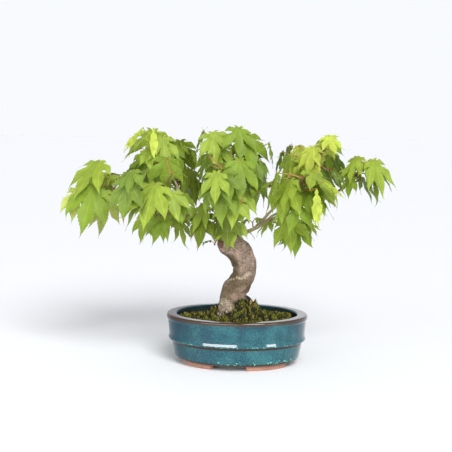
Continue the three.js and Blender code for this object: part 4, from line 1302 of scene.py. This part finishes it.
def grow_mass(name, curves):
    """The stem, shoots and leaves of one mass, and the room that they leave."""
    _, _, reach, most, seed, _ = MASSES[name]
    draw = seeded(seed)
    stem = stem_of(name, curves)
    room = Room(name, curves)
    shoots = []
    count = 0
    for k in range(MOST_SHOOTS):
        if count >= most:
            break
        turn = k * math.radians(GOLDEN_ANGLE) + mix(-TURN_SWAY, TURN_SWAY, draw())
        way = direction(turn, math.radians(mix(*SHOOT_LIFT, (k * GOLDEN_SHARE) % 1)))
        start = stem[0](mix(*SHOOT_START, draw()))
        span = mix(*SHOOT_SPAN, draw()) / math.sqrt(float(((way / reach) ** 2).sum()))
        tip = start + way * span
        if not room.take(np.array([start + way * span * SHOOT_MIDDLE, tip]), SHOOT_GAP, LEAF_GAP):
            continue
        leaves = []
        for j in range(LEAVES_PER_SHOOT):
            leaf = grow_leaf(tip - way * LEAF_SPACING * j, turn, room, draw) if count < most else None
            if leaf:
                leaves.append(leaf)
                count += 1
        if leaves:
            shoots.append((start, tip, leaves))
    return stem, shoots, room


def side_leaf(root, heading, side, room, draw):
    """The first small leaf that fits on one side of a twig's end."""
    for _ in range(SIDE_TRIES):
        turn, rise, dip, roll = np.radians(draw.uniform(*SIDE_ANGLES))
        leaf = leaf_shape(root, heading + side * turn, draw.uniform(*SIDE_PETIOLE), rise, dip, roll,
                          draw.uniform(*SIDE_LENGTH), draw.uniform(*LEAF_DROOP))
        if room.take(leaf_samples(leaf), SIDE_GAP, SIDE_GAP):
            return leaf
    return None


def grow_side_twigs(shoots, room, most, seed):
    """Finer twigs on a mass's shoots, each with smaller leaves that fit in between."""
    draw = np.random.default_rng(seed)
    twigs = []
    for _ in range(TWIG_TRIES):
        if len(twigs) == most:
            break
        start, tip, _ = shoots[draw.integers(len(shoots))]
        foot = start + (tip - start) * draw.uniform(0.3, 0.95)
        heading = draw.uniform(0, 2 * math.pi)
        end = foot + direction(heading, math.radians(draw.uniform(-15, 40))) * draw.uniform(5, 14)
        found = [side_leaf(end, heading, side, room, draw) for side in (-1, 1)]
        if any(found):
            twigs.append((foot, end, [leaf for leaf in found if leaf]))
    return twigs


# Leaves

def smooth_rows(nodes, shares):
    """Catmull-Rom values between evenly spaced nodes, for shares from 0 to 1."""
    last = len(nodes) - 1
    i = np.minimum((shares * last).astype(int), last - 1)
    w = (shares * last - i).reshape(-1, *([1] * (nodes.ndim - 1)))
    p1, p2 = nodes[i], nodes[i + 1]
    p0 = np.where((i > 0).reshape(w.shape), nodes[np.maximum(i - 1, 0)], p1 * 2 - p2)
    p3 = np.where((i + 2 <= last).reshape(w.shape), nodes[np.minimum(i + 2, last)], p2 * 2 - p1)
    return hermite(p1, p2, (p2 - p0) * 0.5, (p3 - p1) * 0.5, w)


def taper(share):
    """Half width of a lobe's free part, full at a sixth of it and drawn out to a long thin point."""
    x = np.clip((share - 0.16) / 0.84, 0.0, 1.0)
    return (1 - x) ** 1.65 * (1 + 2.4 * x * (1 - x))


class Blade:
    """Rows across the lobes of one leaf, from its base to the tips."""

    def __init__(self, leaf, draw, count, spread):
        odd = draw.normal(0, 1, (3, len(BLADE_LOBES))).clip(-1.6, 1.6)
        lobes = [((angle + turn * LOBE_SWAY) * spread, share * (1 - abs(short) * LOBE_LOSS))
                 for (angle, share), turn, short in zip(BLADE_LOBES, odd[0], odd[1])]
        *stance, droop = leaf["stance"]
        fine = leaf_shape(*stance, np.clip(droop * (1 + odd[2][:, None] * 0.2), 0.3, 0.97), lobes=lobes)
        sinus = draw.uniform(*SINUS)
        free = sinus + (1 - sinus) * np.linspace(0, 1, count * len(TOOTH) + 1)[1:]
        self.shares = np.concatenate([np.linspace(0, sinus, FUSED_ROWS + 1), free])
        self.round_base = np.sin(np.clip(self.shares / sinus, 0, 1) * math.pi / 2)
        self.fused = (self.shares <= sinus)[:, None]
        self.beyond = np.clip((self.shares - sinus) / (1 - sinus), 0, 1)
        self.joined = smoothstep(self.beyond, 0.0, 0.2)[:, None]
        self.teeth = np.concatenate([np.zeros(FUSED_ROWS + 1), np.tile(TOOTH, count)])
        self.teeth[-len(TOOTH):] = 0
        self.spine, self.sides, ways = (smooth_rows(fine[k], self.shares) for k in ("spine", "sides", "ways"))
        self.normals = unit(np.cross(self.sides, ways))
        self.half_widths = fine["half_widths"][:, 0]

    def edge(self, i, side, half):
        """From a lobe's spine to its edge: the seam with the next lobe, then its own toothed outline."""
        if 0 <= i + side < len(BLADE_LOBES):
            seam = (self.spine[:, i + side] - self.spine[:, i]) / 2
        else:
            seam = self.sides[:, i] * side * (half * self.round_base)[:, None]
        width = half * taper(self.beyond) * (1 + TOOTH_DEPTH * self.teeth * (1 - self.beyond * 0.4))
        own = self.sides[:, i] * side * width[:, None]
        return np.where(self.fused, seam, seam[FUSED_ROWS] * (1 - self.joined) + own * self.joined)

    def lobe(self, i, half, wave, curl):
        """Points of a lobe, folded along its spine, rippled, and with a curled tip."""
        edges = {side: self.edge(i, side, half) for side in (-1, 1)}
        wide = (np.linalg.norm(edges[-1], axis=1) + np.linalg.norm(edges[1], axis=1)) / 2
        tip = (np.clip(self.beyond - 0.6, 0, 1) / 0.4) ** 2
        line = self.spine[:, i] + (self.sides[:, i] * curl[0] + self.normals[:, i] * curl[1]) * tip[:, None]
        grid = []
        for column in np.array(BLADE_COLUMNS):
            fold = BLADE_FOLD * wide * (abs(column) ** 1.2 - 1)
            ripple = 0.4 * np.sin(self.shares * 17 + wave) * abs(column) * self.joined[:, 0]
            rib = 0.16 if abs(column) < 0.1 else 0.0
            lift = (fold + ripple + rib * np.minimum(1, wide / 3))[:, None] * self.normals[:, i]
            grid.append(line + edges[1 if column > 0 else -1] * abs(column) + lift)
        return np.stack(grid, axis=1).reshape(-1, 3)

    def faces(self, kind, rust_from):
        """Faces of a lobe and their materials, with its vein and the rust from a share of its length on."""
        across = len(BLADE_COLUMNS)
        faces, kinds = [], []
        for row, share in enumerate(self.shares[:-1]):
            for column in range(across - 1):
                a = row * across + column
                faces.append((a, a + 1, a + 1 + across, a + across))
                green = VEIN_OF.get(kind, 0) if column == VEIN_COLUMN else kind
                kinds.append(RUST if share > rust_from else green)
        return faces, kinds


class Crown:
    """The crown's sheaves, and the run of draws for all that is finer than the growth rule."""

    def __init__(self):
        self.draw = np.random.default_rng(CROWN_SEED)
        self.leaves, self.stalks, self.shoots = Sheaf(), Sheaf(), Sheaf()

    def add_leaf(self, leaf, kind, thickness, rust_from=1.0, width=1.0, count=TEETH, spread=1.0):
        """A blade and its stalk, which is slightly bowed and thicker at both ends."""
        blade = Blade(leaf, self.draw, count, spread)
        wave = self.draw.uniform(0, 2 * math.pi, len(BLADE_LOBES))
        curl = self.draw.normal(0, TIP_CURL, (2, len(BLADE_LOBES)))
        halves = blade.half_widths * (self.draw.uniform(0.86, 1.04) * width)
        for i, half in enumerate(halves):
            points = blade.lobe(i, half, wave[i], curl[:, i])
            self.leaves.add(points, *blade.faces(kind, rust_from + 0.02 * (i % 3)))
        root, base = leaf["root"], leaf["base"]
        bow = UP * self.draw.uniform(0.4, 1.6)
        path = [root + (base - root) * s + bow * math.sin(s * math.pi) for s in np.linspace(0, 1, 8)]
        path.append(base + leaf["axis"] * 1.5)
        points, faces = tube(path, np.array(STALK_RADII) * thickness, 7)
        self.stalks.add(points, faces, 0 if self.draw.uniform() < RED_SHARE else 1)

    def add_bud(self, centre, way, size):
        """A small pointed bud."""
        path = centre + np.outer(BUD_STEPS, way * size)
        self.shoots.add(*tube(path, [*(size * width for width in BUD_WIDTHS), 0.05], 7), 1)

    def add_stem(self, at):
        """A mass's stem, let into its bough."""
        path = [at(0.0) - unit(at(0.1) - at(0.0)) * 2.2] + [at(t) for t in np.linspace(0, 1, 12)]
        self.shoots.add(*tube(path, np.linspace(*STEM_ENDS, len(path)), 9))

    def add_shoot(self, start, tip, leaves):
        """A shoot with a ring at each leaf, a bud at its end and two spurs."""
        way = unit(tip - start)
        length = float(np.linalg.norm(tip - start))
        shares = np.linspace(0, 1, max(6, int(length / 1.5)))
        sway = np.cross(way, UP) * self.draw.uniform(-0.8, 0.8)
        path = [start + way * length * s + sway * math.sin(s * math.pi) for s in shares]
        rings = [LEAF_SPACING * j for j in range(len(leaves))]
        radii = []
        for s in shares:
            swell = sum(math.exp(-(((1 - s) * length - ring) / RING_LENGTH) ** 2) for ring in rings)
            radii.append(mix(*SHOOT_ENDS, s) + RING_SWELL * swell)
        self.shoots.add(*tube(path, radii, 8))
        self.add_bud(tip, unit(way + UP * 0.3), self.draw.uniform(2.6, 4.2))
        for _ in range(2):
            foot = start + way * length * self.draw.uniform(0.2, 0.7)
            spur = unit(self.draw.normal(size=3) + UP * 0.5)
            reach = self.draw.uniform(2.5, 5.5)
            path = [foot, foot + spur * reach * 0.6, foot + spur * reach]
            self.shoots.add(*tube(path, SPUR_RADII, 6))
            self.add_bud(path[-1], spur, 1.8)

    def add_twig(self, start, tip):
        """A side twig with a bud at its end."""
        way = unit(tip - start)
        sway = np.cross(way, UP) * self.draw.uniform(-0.6, 0.6)
        path = [start + (tip - start) * s + sway * math.sin(s * math.pi) for s in np.linspace(0, 1, 8)]
        self.shoots.add(*tube(path, np.linspace(*TWIG_ENDS, 8), 8))
        self.add_bud(tip, way, self.draw.uniform(2.0, 3.2))

    def add_young_pair(self, tip, way, kind, size=1.0):
        """The two small half-opened leaves at a shoot's tip."""
        draw = self.draw
        heading = math.atan2(way[1], way[0]) + draw.uniform(-0.5, 0.5)
        for side in (-1, 1):
            leaf = leaf_shape(
                tip, heading + side * draw.uniform(1.0, 1.7), draw.uniform(4, 8),
                math.radians(draw.uniform(20, 60)), math.radians(draw.uniform(-10, 40)),
                math.radians(draw.uniform(-25, 25)), draw.uniform(13, 21) * size, draw.uniform(0.3, 0.7))
            self.add_leaf(leaf, kind, 0.7, width=0.8, count=YOUNG_TEETH)

    def add_folded_leaf(self, at, place, petiole, heading, rise, dip, length, droop):
        """A new leaf whose lobes still hang close together."""
        heading, rise, dip = np.radians((heading, rise, dip))
        leaf = leaf_shape(at(place), heading, petiole, rise, dip, 0.0, length, droop)
        self.add_leaf(leaf, LEAF_COLOURS.index("yellow"), 0.8, width=0.7, spread=FOLD_SPREAD)

    def add_sprout(self, curve, place, heading, rise):
        """A short young shoot with a pair of small leaves, straight from a bough."""
        at, radius = curve
        way = direction(math.radians(heading), math.radians(rise))
        tip = at(place) + way * (radius(place) + SPROUT_LENGTH)
        self.add_twig(at(place), tip)
        self.add_young_pair(tip, way, LEAF_COLOURS.index("bright"), 1.35)

    def add_mass(self, name, curves, rust_share):
        """A whole mass: its stem, shoots, side twigs and all their leaves."""
        draw = self.draw
        stem, shoots, room = grow_mass(name, curves)
        twigs = grow_side_twigs(shoots, room, *SIDE_TWIGS.get(name, (0, 0)))
        palette = [LEAF_COLOURS.index(word) for word in MASSES[name][5].split()]
        self.add_stem(stem[0])
        for shoot in shoots:
            self.add_shoot(*shoot)
        for stance in FOLDED_LEAVES.get(name, ()):
            self.add_folded_leaf(stem[0], *stance)
        for bough, *stance in SPROUTS.get(name, ()):
            self.add_sprout(curves[bough], *stance)
        for number, (start, tip, leaves) in enumerate(shoots):
            for leaf in leaves:
                shade = palette[number % 3] if draw.uniform() < 0.6 else palette[int(draw.uniform(0, 3))]
                rust_from = draw.uniform(0.84, 0.95) if draw.uniform() < rust_share else 1.0
                self.add_leaf(leaf, shade, 1.0, rust_from)
            if draw.uniform() < 0.75:
                self.add_young_pair(tip, unit(tip - start), palette[0])
        for start, tip, leaves in twigs:
            self.add_twig(start, tip)
            for leaf in leaves:
                self.add_leaf(leaf, palette[int(draw.uniform(0, 3))], 0.85)


def build_crown(settings):
    """The leaves in six pieces, then all stalks, then all shoots."""
    curves = limb_curves()
    blades = [leaf_material(f"leaf {name}", getattr(settings, name), settings.glow) for name in LEAF_COLOURS]
    stalks = [
        stalk_material("red stalk", settings.stalk, RED_STALK_TAN),
        stalk_material("green stalk", GREEN_STALK, GREEN_STALK_TAN),
    ]
    woods = [
        stalk_material("shoot", settings.shoot, SHOOT_OLIVE),
        stalk_material("bud", BUD_DARK, BUD_LIGHT),
    ]
    crown = Crown()
    for part, masses in CROWN_PARTS.items():
        crown.leaves = Sheaf()
        for name in masses:
            crown.add_mass(name, curves, settings.rust_share)
        slot = "leaf_young" if part == "far_left" else "leaf_green"
        piece = crown.leaves.piece(f"{part}_leaves", blades, turn=TREE_TURN)
        finish_piece(piece, slot, *(f"{name}_foliage" for name in masses))
    nodes = [f"{name}_foliage" for name in MASSES]
    finish_piece(crown.stalks.piece("leaf_stalks", stalks, turn=TREE_TURN), "leaf_green", *nodes)
    finish_piece(crown.shoots.piece("shoots", woods, turn=TREE_TURN), "young_bark", *nodes)


# Studio

def build_stage(settings):
    """The floor, the surround, three lights and the camera."""
    scene = bpy.context.scene
    scene.view_settings.view_transform = "Standard"
    corners = np.array([(-1, -1, 0), (1, -1, 0), (1, 1, 0), (-1, 1, 0)]) * FLOOR_REACH
    floor = mesh_piece("floor", corners, [(0, 1, 2, 3)], [floor_material(settings)])
    scene.world = surround(settings)
    add_lamp("soft_sun", "SUN", SUN_PLACE, settings.sun).angle = SUN_ANGLE
    for name, power in (("key", settings.key), ("fill", settings.fill)):
        softbox(name, *SOFTBOXES[name], power)
    photo_camera()


def surround(settings):
    """A world that is pale near the horizon and dimmer overhead, alike all round."""
    world = bpy.data.worlds.new("studio")
    world.use_nodes = True
    nodes, links = world.node_tree.nodes, world.node_tree.links
    place = nodes.new("ShaderNodeTexCoord")
    split = nodes.new("ShaderNodeSeparateXYZ")
    links.new(place.outputs["Generated"], split.inputs["Vector"])
    fade = nodes.new("ShaderNodeMapRange")
    fade.interpolation_type = "SMOOTHSTEP"
    links.new(split.outputs["Z"], fade.inputs["Value"])
    for key, value in (("From Min", 0.3), ("From Max", 0.8), ("To Min", 1.0), ("To Max", settings.roof)):
        fade.inputs[key].default_value = value
    back = nodes["Background"]
    back.inputs["Color"].default_value = tuple(settings.backdrop)
    links.new(fade.outputs["Result"], back.inputs["Strength"])
    return world


def add_lamp(name, kind, place, strength):
    """A light at a place, turned towards the crown."""
    lamp = bpy.data.lights.new(name, kind)
    lamp.energy = strength
    light = bpy.data.objects.new(name, lamp)
    light.location = metres(place)
    aim = Vector(metres(LIGHT_AIM)) - light.location
    light.rotation_euler = aim.to_track_quat("-Z", "Y").to_euler()
    light.visible_camera = False
    bpy.context.scene.collection.objects.link(light)
    return lamp


def softbox(name, azimuth, height, size, power):
    """A rectangular light."""
    turn, lift = math.radians(azimuth), math.radians(height)
    way = Vector((math.sin(turn) * math.cos(lift), -math.cos(turn) * math.cos(lift), math.sin(lift)))
    lamp = add_lamp(name, "AREA", way * LIGHT_DISTANCE, power)
    lamp.shape = "RECTANGLE"
    lamp.size, lamp.size_y = (side * MM for side in size)


def photo_camera():
    """The photograph's own view, with the rim's centre at its place in the frame."""
    turn, pitch = math.radians(CAMERA_AZIMUTH), math.radians(CAMERA_PITCH)
    forward = Vector((-math.sin(turn) * math.cos(pitch), math.cos(turn) * math.cos(pitch), -math.sin(pitch)))
    right = Vector((math.cos(turn), math.sin(turn), 0.0))
    upward = right.cross(forward)
    aim_right, aim_up = (share / FOCAL_RATIO * CAMERA_DISTANCE for share in RIM_IN_FRAME)
    rim_centre = Vector((0.0, 0.0, POT_HEIGHT))
    place = rim_centre - forward * CAMERA_DISTANCE - right * aim_right - upward * aim_up
    data = bpy.data.cameras.new("photograph")
    data.sensor_width = 36.0
    data.lens = FOCAL_RATIO * data.sensor_width
    camera = bpy.data.objects.new("photograph", data)
    camera.location = metres(place)
    camera.rotation_euler = forward.to_track_quat("-Z", "Y").to_euler()
    bpy.context.scene.collection.objects.link(camera)
    bpy.context.scene.camera = camera


# Operators and panel

class BONSAI_OT_pot(bpy.types.Operator):
    """Build the glazed pot"""
    bl_idname = "bonsai.pot"
    bl_label = "Glazed pot"

    def execute(self, context):
        build_pot(context.scene.bonsai_pot)
        return {"FINISHED"}


class BONSAI_OT_feet(bpy.types.Operator):
    """Build the four clay feet"""
    bl_idname = "bonsai.feet"
    bl_label = "Feet"

    def execute(self, context):
        build_feet(context.scene.bonsai_pot)
        return {"FINISHED"}


class BONSAI_OT_soil(bpy.types.Operator):
    """Build the soil with its crumbs"""
    bl_idname = "bonsai.soil"
    bl_label = "Soil"

    def execute(self, context):
        build_soil(context.scene.bonsai_ground)
        return {"FINISHED"}


class BONSAI_OT_moss(bpy.types.Operator):
    """Build the mound of moss"""
    bl_idname = "bonsai.moss"
    bl_label = "Moss"

    def execute(self, context):
        build_moss(context.scene.bonsai_ground)
        return {"FINISHED"}


class BONSAI_OT_wood(bpy.types.Operator):
    """Build the trunk and boughs with their bark"""
    bl_idname = "bonsai.wood"
    bl_label = "Trunk and boughs"

    def execute(self, context):
        build_wood(context.scene.bonsai_wood)
        return {"FINISHED"}


class BONSAI_OT_crown(bpy.types.Operator):
    """Grow the shoots, stalks and leaves"""
    bl_idname = "bonsai.crown"
    bl_label = "Crown"

    def execute(self, context):
        build_crown(context.scene.bonsai_crown)
        return {"FINISHED"}


class BONSAI_OT_stage(bpy.types.Operator):
    """Set up the floor, lights and camera"""
    bl_idname = "bonsai.stage"
    bl_label = "Studio"

    def execute(self, context):
        build_stage(context.scene.bonsai_stage)
        return {"FINISHED"}


class BONSAI_PT_panel(bpy.types.Panel):
    """The bonsai's steps and settings"""
    bl_idname = "BONSAI_PT_panel"
    bl_label = "Maple Bonsai"
    bl_space_type = "VIEW_3D"
    bl_region_type = "UI"
    bl_category = "Bonsai"

    def draw(self, context):
        for operator in OPERATORS:
            self.layout.operator(operator.bl_idname)
        for attribute, group in SETTINGS.items():
            box = self.layout.box()
            box.label(text=group.__doc__)
            for name in group.__annotations__:
                box.prop(getattr(context.scene, attribute), name)


SETTINGS = {
    "bonsai_pot": BonsaiPotSettings,
    "bonsai_ground": BonsaiGroundSettings,
    "bonsai_wood": BonsaiWoodSettings,
    "bonsai_crown": BonsaiCrownSettings,
    "bonsai_stage": BonsaiStageSettings,
}
OPERATORS = (
    BONSAI_OT_pot, BONSAI_OT_feet, BONSAI_OT_soil, BONSAI_OT_moss, BONSAI_OT_wood, BONSAI_OT_crown,
    BONSAI_OT_stage)


def register():
    """Adds the settings, the steps and the panel."""
    for group in (*SETTINGS.values(), *OPERATORS, BONSAI_PT_panel):
        bpy.utils.register_class(group)
    for attribute, group in SETTINGS.items():
        setattr(bpy.types.Scene, attribute, PointerProperty(type=group))


def unregister():
    """Takes them away again."""
    for attribute in SETTINGS:
        delattr(bpy.types.Scene, attribute)
    for group in (BONSAI_PT_panel, *reversed(OPERATORS), *reversed(SETTINGS.values())):
        bpy.utils.unregister_class(group)


def main():
    """Runs all steps."""
    register()
    bpy.ops.bonsai.pot()
    bpy.ops.bonsai.feet()
    bpy.ops.bonsai.soil()
    bpy.ops.bonsai.moss()
    bpy.ops.bonsai.wood()
    bpy.ops.bonsai.crown()
    bpy.ops.bonsai.stage()


if __name__ == "__main__":
    main()
